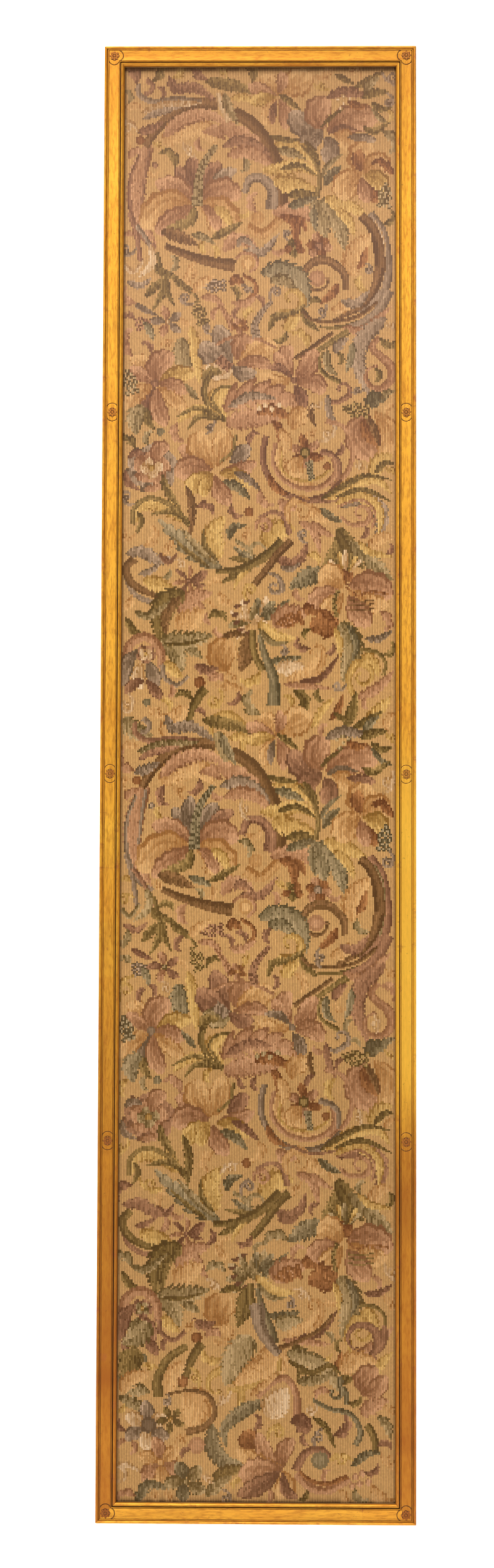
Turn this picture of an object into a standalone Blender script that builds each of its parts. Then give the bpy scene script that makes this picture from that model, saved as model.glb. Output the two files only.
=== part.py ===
"""A tall framed tapestry panel: a ribbed wool cloth held flat in the rabbet of a gilded,
mitred moulding frame with ten carved rosettes.

Units are metres, +Z is up and the front faces -Y. The back of the frame lies in the plane
y = 0, against the wall, and the origin is the middle of the top rail's back face.
"""

import math

import bmesh
import bpy
from mathutils import Matrix

# Driving sizes of the frame.
FRAME_WIDTH = 0.450
FRAME_HEIGHT = 2.107
FRAME_DEPTH = 0.028
RAIL_WIDTH = 0.029
SEAT_GAP = 0.0003

# The rabbet behind the sight edge, which holds the cloth.
RABBET_WIDTH = 0.007
RABBET_DEPTH = 0.0185
BACK_FACE_WIDTH = RAIL_WIDTH - RABBET_WIDTH

# Steps of the moulding, measured across the rail from its outer edge.
LIP_CREST = 0.0022
LIP_END = 0.0047
STEP_START = 0.0052
STEP_END = 0.0073
FLAT_START = 0.0078
FLAT_END = 0.0206
FILLET_START = 0.0211
FILLET_END = 0.0227
GROOVE_END = 0.0237
BEAD_END = 0.0286
FLAT_MIDDLE = (FLAT_START + FLAT_END) / 2

# Depths of the moulding, measured back from its front plane.
LIP_SHOULDER_DROP = 0.0030
LIP_GROOVE_DROP = 0.0030
STEP_DROP = 0.0020
QUIRK_DROP = 0.0030
FLAT_DROP = 0.0025
FILLET_DROP = 0.0019
DEEP_GROOVE_DROP = 0.0050
BEAD_START_DROP = 0.0030
BEAD_TOP_DROP = 0.0019
BEAD_END_DROP = 0.0052
GROOVE_WALL_LEAN = 0.0002
SIGHT_EDGE_ROUND = 0.0006
# Arcs of the section, in degrees from the direction of the sight edge.
LIP_ARC = (180, 30)
BEAD_ARC = (75, 0)
ARC_STEPS = 5

# The cloth.
CLOTH_THICKNESS = 0.0020
CLOTH_SIDE_GAP = 0.0005

# Carved rosettes, spaced evenly down each stile with one at each corner.
ROSETTES_PER_STILE = 5
ROSETTE_RADIUS = 0.0066
ROSETTE_NOTCH = 0.0008
NOTCH_SHARPNESS = 6
ROSETTE_PETALS = 8
ROSETTE_SIDES = 32
# Rings of the rosette from its rim to its boss.
ROSETTE_RINGS = (
    {"radius_share": 1.00, "height": 0.0005},
    {"radius_share": 0.92, "height": 0.0011},
    {"radius_share": 0.62, "height": 0.0012},
    {"radius_share": 0.36, "height": 0.0006},
    {"radius_share": 0.24, "height": 0.0013},
)

ORIGIN_BELOW_TOP = BACK_FACE_WIDTH / 2
TOP_Z = ORIGIN_BELOW_TOP
BOTTOM_Z = TOP_Z - FRAME_HEIGHT
MIDDLE_Z = (TOP_Z + BOTTOM_Z) / 2

FINISHES = (
    {"name": "gilded_wood", "colour": (0.80, 0.47, 0.09), "roughness": 0.38, "metallic": 0.85},
    {"name": "toned_gilding", "colour": (0.52, 0.27, 0.06), "roughness": 0.45, "metallic": 0.75},
    {"name": "ribbed_wool", "colour": (0.45, 0.30, 0.15), "roughness": 0.92, "metallic": 0.0},
)


def clear_scene():
    for existing in list(bpy.data.objects):
        bpy.data.objects.remove(existing, do_unlink=True)


def make_finishes():
    made = {}
    for finish in FINISHES:
        material = bpy.data.materials.new(finish["name"])
        material.use_nodes = True
        shader = material.node_tree.nodes["Principled BSDF"]
        shader.inputs["Base Color"].default_value = (*finish["colour"], 1.0)
        shader.inputs["Roughness"].default_value = finish["roughness"]
        shader.inputs["Metallic"].default_value = finish["metallic"]
        made[finish["name"]] = material
    return made


def place_object(name, form, material, location=(0.0, 0.0, 0.0)):
    """Turns a bmesh into a named object with outward faces."""
    bmesh.ops.recalc_face_normals(form, faces=form.faces[:])
    mesh = bpy.data.meshes.new(name)
    form.to_mesh(mesh)
    form.free()
    mesh.materials.append(material)
    placed = bpy.data.objects.new(name, mesh)
    placed.location = location
    bpy.context.scene.collection.objects.link(placed)
    return placed


def ellipse_arc(middle, across, rise, sweep):
    """Points of an elliptical arc that sweeps between two angles."""
    start, end = sweep
    points = []
    for index in range(ARC_STEPS + 1):
        angle = math.radians(start + (end - start) * index / ARC_STEPS)
        points.append((middle[0] + across * math.cos(angle), middle[1] + rise * math.sin(angle)))
    return points


def moulding_outline():
    """The rail's section as (distance from the outer edge, height above the back plane)."""
    front = FRAME_DEPTH
    lip = ellipse_arc(
        (LIP_CREST, front - LIP_SHOULDER_DROP), LIP_CREST, LIP_SHOULDER_DROP, LIP_ARC)
    quirk_in = (STEP_END + FLAT_START) / 2
    quirk_out = (FLAT_END + FILLET_START) / 2
    bead = ellipse_arc(
        (GROOVE_END, front - BEAD_END_DROP),
        BEAD_END - GROOVE_END, BEAD_END_DROP - BEAD_TOP_DROP, BEAD_ARC)
    outline = [(0.0, 0.0)]
    outline += lip
    outline += [
        (LIP_END, front - LIP_GROOVE_DROP),
        (STEP_START, front - STEP_DROP),
        (STEP_END, front - STEP_DROP),
        (quirk_in, front - QUIRK_DROP),
        (FLAT_START, front - FLAT_DROP),
        (FLAT_END, front - FLAT_DROP),
        (quirk_out, front - QUIRK_DROP),
        (FILLET_START, front - FILLET_DROP),
        (FILLET_END, front - FILLET_DROP),
        (FILLET_END + GROOVE_WALL_LEAN, front - DEEP_GROOVE_DROP),
        (GROOVE_END - GROOVE_WALL_LEAN, front - DEEP_GROOVE_DROP),
        (GROOVE_END, front - BEAD_START_DROP),
    ]
    outline += bead
    outline += [
        (RAIL_WIDTH, front - BEAD_END_DROP - SIGHT_EDGE_ROUND),
        (RAIL_WIDTH, RABBET_DEPTH),
        (BACK_FACE_WIDTH, RABBET_DEPTH),
        (BACK_FACE_WIDTH, 0.0),
    ]
    return outline


def make_rail(name, length, turn, location, material):
    """A mitred rail. Before its turn it is a top rail, with its outer edge up at z = 0."""
    mitre_retreat = SEAT_GAP / 2 * math.sqrt(2)
    form = bmesh.new()
    ends = []
    for side in (-1, 1):
        ring = []
        for across, height in moulding_outline():
            reach = length / 2 - across - mitre_retreat
            ring.append(form.verts.new((side * reach, -height, -across)))
        ends.append(ring)
    count = len(ends[0])
    for index in range(count):
        following = (index + 1) % count
        form.faces.new((ends[0][index], ends[0][following], ends[1][following], ends[1][index]))
    form.faces.new(ends[0])
    form.faces.new(ends[1])
    bmesh.ops.triangulate(form, faces=[face for face in form.faces if len(face.verts) > 4])
    bmesh.ops.transform(form, matrix=Matrix.Rotation(turn, 4, "Y"), verts=form.verts[:])
    return place_object(name, form, material, location)


def make_frame(material):
    half_width = FRAME_WIDTH / 2
    rows = (
        {"name": "rail_top", "length": FRAME_WIDTH, "turn": 0, "x": 0.0, "z": TOP_Z},
        {"name": "rail_bottom", "length": FRAME_WIDTH, "turn": 180, "x": 0.0, "z": BOTTOM_Z},
        {"name": "stile_left", "length": FRAME_HEIGHT, "turn": -90, "x": -half_width, "z": MIDDLE_Z},
        {"name": "stile_right", "length": FRAME_HEIGHT, "turn": 90, "x": half_width, "z": MIDDLE_Z},
    )
    for row in rows:
        make_rail(row["name"], row["length"], math.radians(row["turn"]),
                  (row["x"], 0.0, row["z"]), material)


def make_cloth(material):
    """One flat sheet, with its edges tucked behind the sight edge on all four sides."""
    inset = BACK_FACE_WIDTH + CLOTH_SIDE_GAP
    width = FRAME_WIDTH - 2 * inset
    height = FRAME_HEIGHT - 2 * inset
    front = RABBET_DEPTH - SEAT_GAP
    form = bmesh.new()
    bmesh.ops.create_cube(form, size=1.0)
    bmesh.ops.scale(form, vec=(width, CLOTH_THICKNESS, height), verts=form.verts[:])
    place_object("tapestry", form, material,
                 (0.0, -(front - CLOTH_THICKNESS / 2), MIDDLE_Z))


def rosette_mesh(material):
    """A round flower in low relief, its back at y = 0 and its face towards -Y."""
    form = bmesh.new()
    rings = []
    back_row = {"radius_share": 1.0, "height": 0.0}
    for row in (back_row, *ROSETTE_RINGS):
        ring = []
        for index in range(ROSETTE_SIDES):
            angle = 2 * math.pi * index / ROSETTE_SIDES
            notch = abs(math.cos(ROSETTE_PETALS * angle / 2)) ** NOTCH_SHARPNESS
            radius = (ROSETTE_RADIUS - ROSETTE_NOTCH * notch) * row["radius_share"]
            ring.append(form.verts.new(
                (radius * math.cos(angle), -row["height"], radius * math.sin(angle))))
        rings.append(ring)
    for lower, upper in zip(rings, rings[1:]):
        for index in range(ROSETTE_SIDES):
            following = (index + 1) % ROSETTE_SIDES
            form.faces.new((lower[index], lower[following], upper[following], upper[index]))
    form.faces.new(rings[0])
    form.faces.new(rings[-1])
    bmesh.ops.triangulate(form, faces=form.faces[:])
    bmesh.ops.recalc_face_normals(form, faces=form.faces[:])
    mesh = bpy.data.meshes.new("rosette")
    form.to_mesh(mesh)
    form.free()
    mesh.materials.append(material)
    return mesh


def make_rosettes(material):
    """Five rosettes to a stile. The first and last sit over the mitres at the corners."""
    mesh = rosette_mesh(material)
    seat_y = -(FRAME_DEPTH - FLAT_DROP + SEAT_GAP)
    spacing = (FRAME_HEIGHT - 2 * FLAT_MIDDLE) / (ROSETTES_PER_STILE - 1)
    for side, sign in (("left", -1), ("right", 1)):
        for index in range(ROSETTES_PER_STILE):
            rosette = bpy.data.objects.new(f"rosette_{side}_{index + 1}", mesh)
            rosette.location = (
                sign * (FRAME_WIDTH / 2 - FLAT_MIDDLE),
                seat_y,
                TOP_Z - FLAT_MIDDLE - spacing * index,
            )
            bpy.context.scene.collection.objects.link(rosette)


clear_scene()
finishes = make_finishes()
make_frame(finishes["gilded_wood"])
make_rosettes(finishes["toned_gilding"])
make_cloth(finishes["ribbed_wool"])
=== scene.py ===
"""Looks of a tall framed tapestry panel: a ribbed wool cloth with a scrolling pattern of leaves
and flowers, stretched in a gilded, mitred moulding frame with ten carved rosettes.

Laid out as an add-on and run as a script. Metres, +Z up, the front faces -Y.
"""

import math
from bisect import bisect_left, bisect_right

import bpy
import numpy as np
from mathutils import Euler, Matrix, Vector, noise


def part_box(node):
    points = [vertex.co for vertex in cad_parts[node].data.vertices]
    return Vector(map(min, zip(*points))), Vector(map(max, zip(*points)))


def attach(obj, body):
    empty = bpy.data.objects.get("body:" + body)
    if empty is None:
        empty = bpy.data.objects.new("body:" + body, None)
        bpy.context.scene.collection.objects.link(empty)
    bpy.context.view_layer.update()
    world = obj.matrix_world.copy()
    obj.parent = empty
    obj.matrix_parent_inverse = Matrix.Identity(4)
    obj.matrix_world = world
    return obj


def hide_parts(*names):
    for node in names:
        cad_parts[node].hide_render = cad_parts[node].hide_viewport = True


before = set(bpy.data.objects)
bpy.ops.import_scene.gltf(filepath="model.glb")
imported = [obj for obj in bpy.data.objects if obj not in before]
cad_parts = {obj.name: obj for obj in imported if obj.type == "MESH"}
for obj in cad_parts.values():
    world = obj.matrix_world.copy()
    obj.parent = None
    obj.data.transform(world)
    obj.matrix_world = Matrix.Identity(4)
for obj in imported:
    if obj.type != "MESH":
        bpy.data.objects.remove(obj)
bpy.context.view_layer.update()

bl_info = {
    "name": "Framed tapestry panel",
    "version": (1, 0, 0),
    "blender": (4, 5, 0),
    "location": "3D View > Sidebar > Tapestry",
    "description": "Builds a ribbed wool tapestry in a gilded frame with carved rosettes",
    "category": "Object",
}

# ------------------------ sizes

MM = 0.001
CLOTH_LOW, CLOTH_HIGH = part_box("tapestry")
CLOTH_WIDTH = CLOTH_HIGH[0] - CLOTH_LOW[0]
CLOTH_HEIGHT = CLOTH_HIGH[2] - CLOTH_LOW[2]
CLOTH_FRONT = CLOTH_LOW[1]
CLOTH_BACK = CLOTH_HIGH[1]
LEFT_LOW, LEFT_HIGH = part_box("stile_left")
RIGHT_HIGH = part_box("stile_right")[1]
FRAME_WIDTH = RIGHT_HIGH[0] - LEFT_LOW[0]
FRAME_HEIGHT = LEFT_HIGH[2] - LEFT_LOW[2]
FRAME_DEPTH = LEFT_HIGH[1] - LEFT_LOW[1]
RAIL_WIDTH = LEFT_HIGH[0] - LEFT_LOW[0]
TOP_Z = LEFT_HIGH[2]
BOTTOM_Z = LEFT_LOW[2]
MIDDLE_Z = (TOP_Z + BOTTOM_Z) / 2

SIGHT_HALF = FRAME_WIDTH / 2 - RAIL_WIDTH

# The moulding: places in from its outer edge, and drops behind its front plane.
RABBET_WIDTH = 0.007
RABBET_DEPTH = 0.0185
FLAT_START = 0.0068
FLAT_END = 0.0211
FLAT_DROP = 0.0025
FLAT_MIDDLE = 0.0142
DEEPEST_FACE = 0.007
MITRE_GAP = 0.00012
CORNER_ROUND = 0.0016
ARRIS = math.radians(38)

# How closely a rail is divided along its length, at large and where an arc is cut.
LONG_STEP = 0.007
ARC_STEP = 0.0003
ARC_NEAR = 0.0080
CORNER_ARC_NEAR = 0.0035
ARC_FAR = 0.0140

# The length of rail that one column of its flat map holds.
COLUMN_LENGTH = 0.27

# A length of the right stile about this height is paler: the darkening towards the foot is lifted
# there, and the gold is drawn towards the pale gold.
PALER_LENGTH_Z = -1.27

# The carved flowers, and the arcs cut beside them.
ROSETTES_PER_STILE = 5
ROSETTE_RADIUS = 0.0074
PETALS = 8
PETAL_MIDDLE = 0.0046
PETAL_HALF_LENGTH = 0.0025
PETAL_HALF_WIDTH = 0.00172
BUTTON_RADIUS = 0.00185
DIMPLE_RADIUS = 0.0006
RED_BROWN = 0.55
ARC_RADIUS = 0.0083
ARC_OFFSET = 0.0047
ARC_HALF_WIDTH = 0.0007
ARC_DEPTH = 0.0007

# The cloth's ribs and the picks of weft laid over them.
RIBS = 175
PICKS = 893
RIB = CLOTH_WIDTH / RIBS / MM
PICK = CLOTH_HEIGHT / PICKS / MM
SIGHT_HEIGHT = 2049.0
TOP_TUCK = (CLOTH_HEIGHT / MM - SIGHT_HEIGHT) / 2


# ------------------------ shader maths


class Value:
    """A number or colour that comes out of a node. Arithmetic on it adds Math nodes."""

    def __init__(self, recipe, socket):
        self.recipe = recipe
        self.socket = socket

    def math(self, operation, first, second):
        return self.recipe.node(
            "ShaderNodeMath", {"operation": operation}, {0: first, 1: second})

    def __add__(self, other):
        return self.math("ADD", self, other)

    def __radd__(self, other):
        return self.math("ADD", other, self)

    def __sub__(self, other):
        return self.math("SUBTRACT", self, other)

    def __rsub__(self, other):
        return self.math("SUBTRACT", other, self)

    def __mul__(self, other):
        return self.math("MULTIPLY", self, other)

    def __rmul__(self, other):
        return self.math("MULTIPLY", other, self)

    def __truediv__(self, other):
        return self.math("DIVIDE", self, other)

    def __rtruediv__(self, other):
        return self.math("DIVIDE", other, self)

    def __pow__(self, other):
        return self.math("POWER", self, other)

    def __rpow__(self, other):
        return self.math("POWER", other, self)


class Recipe:
    """The nodes of one material, built round a single surface shader."""

    def __init__(self, name):
        self.material = bpy.data.materials.new(name)
        self.material.use_nodes = True
        self.tree = self.material.node_tree
        self.tree.nodes.clear()
        output = self.tree.nodes.new("ShaderNodeOutputMaterial")
        self.surface = self.tree.nodes.new("ShaderNodeBsdfPrincipled")
        self.tree.links.new(self.surface.outputs[0], output.inputs["Surface"])

    def feed(self, socket, given):
        if isinstance(given, Value):
            self.tree.links.new(given.socket, socket)
        else:
            socket.default_value = given

    def node(self, kind, settings=None, sockets=None, result=0):
        """Adds a node: its settings first, then the values or links of its sockets."""
        made = self.tree.nodes.new(kind)
        for name, setting in (settings or {}).items():
            setattr(made, name, setting)
        for name, given in (sockets or {}).items():
            self.feed(made.inputs[name], given)
        return Value(self, made.outputs[result])

    def sole(self, operation, value):
        """A Math node that takes one number."""
        return self.node("ShaderNodeMath", {"operation": operation}, {0: value})

    def place(self):
        """The point on the piece, in metres."""
        return self.node("ShaderNodeTexCoord", result="Object")

    def part(self, vector, axis):
        return self.node("ShaderNodeSeparateXYZ", sockets={"Vector": vector}, result=axis)

    def painted(self, layer, result="Color"):
        """A colour layer of the mesh, or the number kept beside the colour."""
        return self.node("ShaderNodeAttribute", {"attribute_name": layer}, None, result)

    def stretched(self, vector, axis, scale):
        """Scales one axis, so that a pattern is drawn out (below 1) or packed (above 1) there."""
        scales = tuple(scale if name == axis else 1.0 for name in "XYZ")
        return self.node(
            "ShaderNodeVectorMath", {"operation": "MULTIPLY"}, {0: vector, 1: scales})

    def chance(self, dimensions, sockets):
        """A number from 0 to 1 that changes from cell to cell."""
        return self.node(
            "ShaderNodeTexWhiteNoise", {"noise_dimensions": dimensions}, sockets, "Value")

    def mottle(self, vector, scale, detail=3.0, roughness=0.55):
        return self.node(
            "ShaderNodeTexNoise", {"noise_dimensions": "3D"},
            {"Vector": vector, "Scale": scale, "Detail": detail, "Roughness": roughness})

    def span(self, value, low, high, start=0.0, end=1.0):
        """Maps low..high on to start..end and holds it there."""
        return self.node(
            "ShaderNodeMapRange", {"clamp": True},
            {"Value": value, "From Min": low, "From Max": high, "To Min": start, "To Max": end})

    def blend(self, share, first, second, way="MIX"):
        """The first colour at a share of 0, the second at 1."""
        return self.node(
            "ShaderNodeMix", {"data_type": "RGBA", "blend_type": way, "clamp_factor": True},
            {0: share, 6: first, 7: second}, result=2)

    def level(self, value):
        """A grey colour of this brightness."""
        return self.node(
            "ShaderNodeCombineColor", None, {"Red": value, "Green": value, "Blue": value})

    def bump(self, height, distance, strength):
        return self.node(
            "ShaderNodeBump", None,
            {"Strength": strength, "Distance": distance, "Height": height})

    def finish(self, constants, links):
        for name, given in constants.items():
            self.surface.inputs[name].default_value = given
        for name, given in links.items():
            self.feed(self.surface.inputs[name], given)
        return self.material


def rgb(hex_code):
    """A colour from its usual six-figure code, made linear."""
    linear = []
    for start in (0, 2, 4):
        share = int(hex_code[start:start + 2], 16) / 255
        linear.append(share / 12.92 if share <= 0.04045 else ((share + 0.055) / 1.055) ** 2.4)
    return (*linear, 1.0)


# ------------------------ finishes


def gilding(name, settings, along):
    """Worn gold leaf over red bole. Leaves are laid one after another along one axis."""
    r = Recipe(name)
    place = r.place()
    run = r.part(place, along)
    wear = r.painted("wear")
    recess, crest, carved = (
        r.node("ShaderNodeSeparateColor", None, {"Color": wear}, channel)
        for channel in ("Red", "Green", "Blue"))

    broad = r.mottle(place, 9.0, 2.0)
    grain = r.mottle(r.stretched(place, along, 0.2), 420.0)
    fine = r.mottle(place, 1500.0, 2.0)
    brushed = r.mottle(r.stretched(place, along, 0.06), 190.0)

    laid = run / settings.leaf_size + 0.15 * broad
    leaf_tone = r.chance("1D", {"W": r.sole("FLOOR", laid)})
    lap = r.sole("FRACT", laid)
    lap_line = r.span(r.sole("ABSOLUTE", lap - 0.5), 0.488, 0.498)

    gold = r.blend(broad, settings.gold_deep, settings.gold_pale)
    gold = r.blend(0.35 * leaf_tone, gold, settings.gold_deep)
    gold = r.blend(r.span(grain, 0.44, 0.70, 0.0, 0.55), gold, settings.toned)
    gold = r.blend(r.span(brushed, 0.50, 0.72, 0.0, 0.45), gold, settings.toned)

    # Towards the foot the gold is darkened towards the toning colour, as painted shade where the
    # light falls off; near the top it is a little darker too.
    up = r.part(place, "Z")
    gold_foot_shade = 1.0 if along == "Z" else 0.34
    low = r.span(up, MIDDLE_Z - 0.15, BOTTOM_Z + 0.4, 0.0, gold_foot_shade)
    high = r.span(up, TOP_Z - 0.28, TOP_Z - 0.03, 0.0, 0.42)
    clean = r.span(r.sole("ABSOLUTE", up - PALER_LENGTH_Z), 0.17, 0.30, 1.0, 0.0)
    clean = clean * r.span(r.part(place, "X"), 0.1, 0.2)
    glaze = low * (1 - clean) * r.span(broad, 0.3, 0.7, 0.6, 1.0) + high
    gold = r.blend(glaze, gold, settings.toned)
    gold = r.blend(0.65 * clean, gold, settings.gold_pale)
    gold = r.blend(carved, gold, settings.bole)

    rub_noise = r.mottle(place, 55.0, 5.0, 0.65)
    rub = r.span(rub_noise + 0.10 * crest + 0.06 * lap_line, 0.66, 0.80) * settings.wear
    bare = r.blend(rub, gold, settings.bole)
    dirt = r.span(recess + 0.35 * (broad - 0.5), 0.10, 0.85)
    speck = r.span(r.mottle(place, 210.0, 3.0, 0.7), 0.66, 0.74)
    colour = r.blend(dirt * 0.92, bare, settings.patina)
    colour = r.blend(speck * 0.45, colour, settings.patina)

    roughness = 0.38 + 0.18 * grain + 0.22 * rub + 0.30 * dirt
    metal = r.span(rub + dirt + 0.4 * speck, 0.0, 1.0, settings.metal, 0.15)
    height = grain * 0.5 + fine * 0.25 - lap_line * 0.6 - rub * 0.5
    return r.finish(
        {"IOR": 1.45, "Specular IOR Level": 0.5},
        {"Base Color": colour, "Roughness": roughness, "Metallic": metal,
         "Normal": r.bump(height, 0.00012, 0.5)})


def wool(settings):
    """Dyed wool picks over ribs: each pick takes the dye a little differently. Painted shade lies
    in the grooves, and a painted shadow along the rails.
    """
    r = Recipe("ribbed wool")
    place = r.place()
    dyed = r.painted("dye")
    # The fourth number of the dye layer is painted shade: 1 down in a groove, 0 on a rib's top.
    groove_shade = r.painted("dye", "Alpha")
    across = r.part(place, "X")
    up = r.part(place, "Z")
    rib_number = r.sole("FLOOR", across / (RIB * MM) + 0.5 * (RIBS % 2))
    pick_number = r.sole("FLOOR", up / (PICK * MM))
    cell = r.node("ShaderNodeCombineXYZ", None, {"X": rib_number, "Y": pick_number})
    pick_tone = r.chance("2D", {"Vector": cell})
    rib_cell = r.node(
        "ShaderNodeCombineXYZ", None, {"X": rib_number * 7.3, "Y": up * 60.0})
    streak = r.mottle(rib_cell, 1.0, 3.0, 0.6)
    broad = r.mottle(r.stretched(place, "Z", 0.6), 7.0, 3.0)
    fibre = r.mottle(r.stretched(place, "Z", 2.6), 900.0, 3.0, 0.7)

    tone = 1.0 + 0.20 * (pick_tone - 0.5) + 0.42 * (streak - 0.5) + 0.16 * (broad - 0.5)
    tone = tone + 0.14 * (fibre - 0.5)
    colour = r.blend(1.0, dyed, r.level(tone), "MULTIPLY")
    colour = r.blend(r.span(broad, 0.35, 0.75, 0.0, 0.10), colour, settings.ground)

    # Light has bleached the upper part. The cloth is also darkened towards the groove colour near
    # its top, and below its middle as painted shade, where the light falls off towards the foot.
    faded = r.span(up, TOP_Z - 0.85, TOP_Z - 0.35, 0.0, settings.fading)
    colour = r.blend(faded, colour, settings.bleached)
    top_darkening_and_low_shade = r.span(up, TOP_Z - 0.26, TOP_Z - 0.05, 0.0, 0.26)
    # Painted shade below the middle, where the light falls off.
    top_darkening_and_low_shade = top_darkening_and_low_shade + r.span(up, MIDDLE_Z - 0.45, MIDDLE_Z - 0.25, 0.14, 0.0)
    colour = r.blend(top_darkening_and_low_shade, colour, settings.shade)

    # Painted shade darkens the grooves between the ribs, with some canvas and dirt showing there
    # too, and a painted shadow lies along the corner between the cloth and each rail.
    top_sight = TOP_Z - RAIL_WIDTH
    foot_sight = BOTTOM_Z + RAIL_WIDTH
    # Painted shadow of the rails on the cloth: beside the stiles, below the top rail and above the
    # bottom rail.
    beside = r.span(r.sole("ABSOLUTE", across), SIGHT_HALF - 0.0035, SIGHT_HALF, 0.0, 0.8)
    below = r.span(up, top_sight - 0.0060, top_sight, 0.0, 0.8)
    above = r.span(up, foot_sight, foot_sight + 0.0035, 0.6, 0.0)
    # Painted shade in the grooves, over the darker canvas and dirt there.
    colour = r.blend(groove_shade ** 1.15 * settings.groove, colour, settings.shade)
    colour = r.blend(beside + below + above, colour, settings.shade)
    height = fibre * 0.5 + pick_tone * 0.35
    return r.finish(
        {"Sheen Weight": 0.08, "Sheen Roughness": 0.6, "Specular IOR Level": 0.05},
        {"Base Color": colour, "Roughness": 0.86 + 0.12 * fibre,
         "Normal": r.bump(height, 0.0003, 0.7)})


def bare_wood(settings):
    """Old softwood behind the gilding, with its grain along the rail and dust in it."""
    r = Recipe("bare wood")
    place = r.place()
    upright = r.mottle(r.stretched(place, "Z", 0.04), 520.0, 5.0, 0.6)
    level = r.mottle(r.stretched(place, "X", 0.04), 520.0, 5.0, 0.6)
    aside = r.sole("ABSOLUTE", r.part(place, "X"))
    stile = aside.math("GREATER_THAN", aside, SIGHT_HALF)
    grain = stile * upright + (1 - stile) * level
    broad = r.mottle(place, 16.0, 3.0)
    colour = r.blend(r.span(grain, 0.35, 0.7), settings.wood_dark, settings.wood_pale)
    colour = r.blend(r.span(broad, 0.45, 0.8, 0.0, 0.4), colour, settings.wood_dust)
    return r.finish(
        {"Specular IOR Level": 0.25},
        {"Base Color": colour, "Roughness": 0.72 + 0.2 * grain,
         "Normal": r.bump(grain, 0.0003, 0.6)})


def paper(settings):
    """The studio's pale sweep, with a faint tooth. It is clear from behind, so the back shows."""
    r = Recipe("studio paper")
    tooth = r.mottle(r.place(), 260.0, 2.0)
    colour = r.blend(tooth * 0.04, settings.paper, rgb("e4e2de"))
    behind = r.node("ShaderNodeNewGeometry", result="Backfacing")
    return r.finish(
        {"Specular IOR Level": 0.1, "Emission Color": settings.paper, "Emission Strength": 0.55},
        {"Base Color": colour, "Roughness": 0.9, "Alpha": 1 - behind})


# ------------------------ making pieces


def add_object(name, data):
    made = bpy.data.objects.new(name, data)
    bpy.context.scene.collection.objects.link(made)
    return made


def make_piece(name, points, faces, materials, face_material=None):
    """Turns points and faces into a piece that rides on the object's one body."""
    mesh = bpy.data.meshes.new(name)
    mesh.from_pydata(points, [], faces)
    for material in materials:
        mesh.materials.append(material)
    if face_material is not None:
        mesh.polygons.foreach_set("material_index", np.asarray(face_material, np.int32))
    mesh.validate()
    mesh.update()
    piece = add_object(name, mesh)
    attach(piece, "root")
    return piece


def paint_layer(piece, name, domain, colours):
    """Stores red, green, blue and a fourth number with each point or corner of the mesh."""
    layer = piece.data.color_attributes.new(name, "FLOAT_COLOR", domain)
    layer.data.foreach_set("color", np.asarray(colours, np.float32).ravel())


def corner_map(piece, places):
    """Lays the piece out flat for painting, from one place per corner of each face."""
    layer = piece.data.uv_layers.new(name="OFBake")
    layer.data.foreach_set("uv", np.asarray(places, np.float32).ravel())


def wander(x, z, size, seed):
    """A smooth, unhurried drift between -1 and 1."""
    return noise.noise(Vector((x / size, z / size, seed)))


# ------------------------ the moulding


def bead(middle, across, rise, start, sweep):
    """Places round a bead of the section."""
    steps = 9
    points = []
    for index in range(steps + 1):
        angle = math.radians(start + sweep * index / steps)
        points.append((middle[0] + across * math.cos(angle), middle[1] - rise * math.sin(angle)))
    return points


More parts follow.
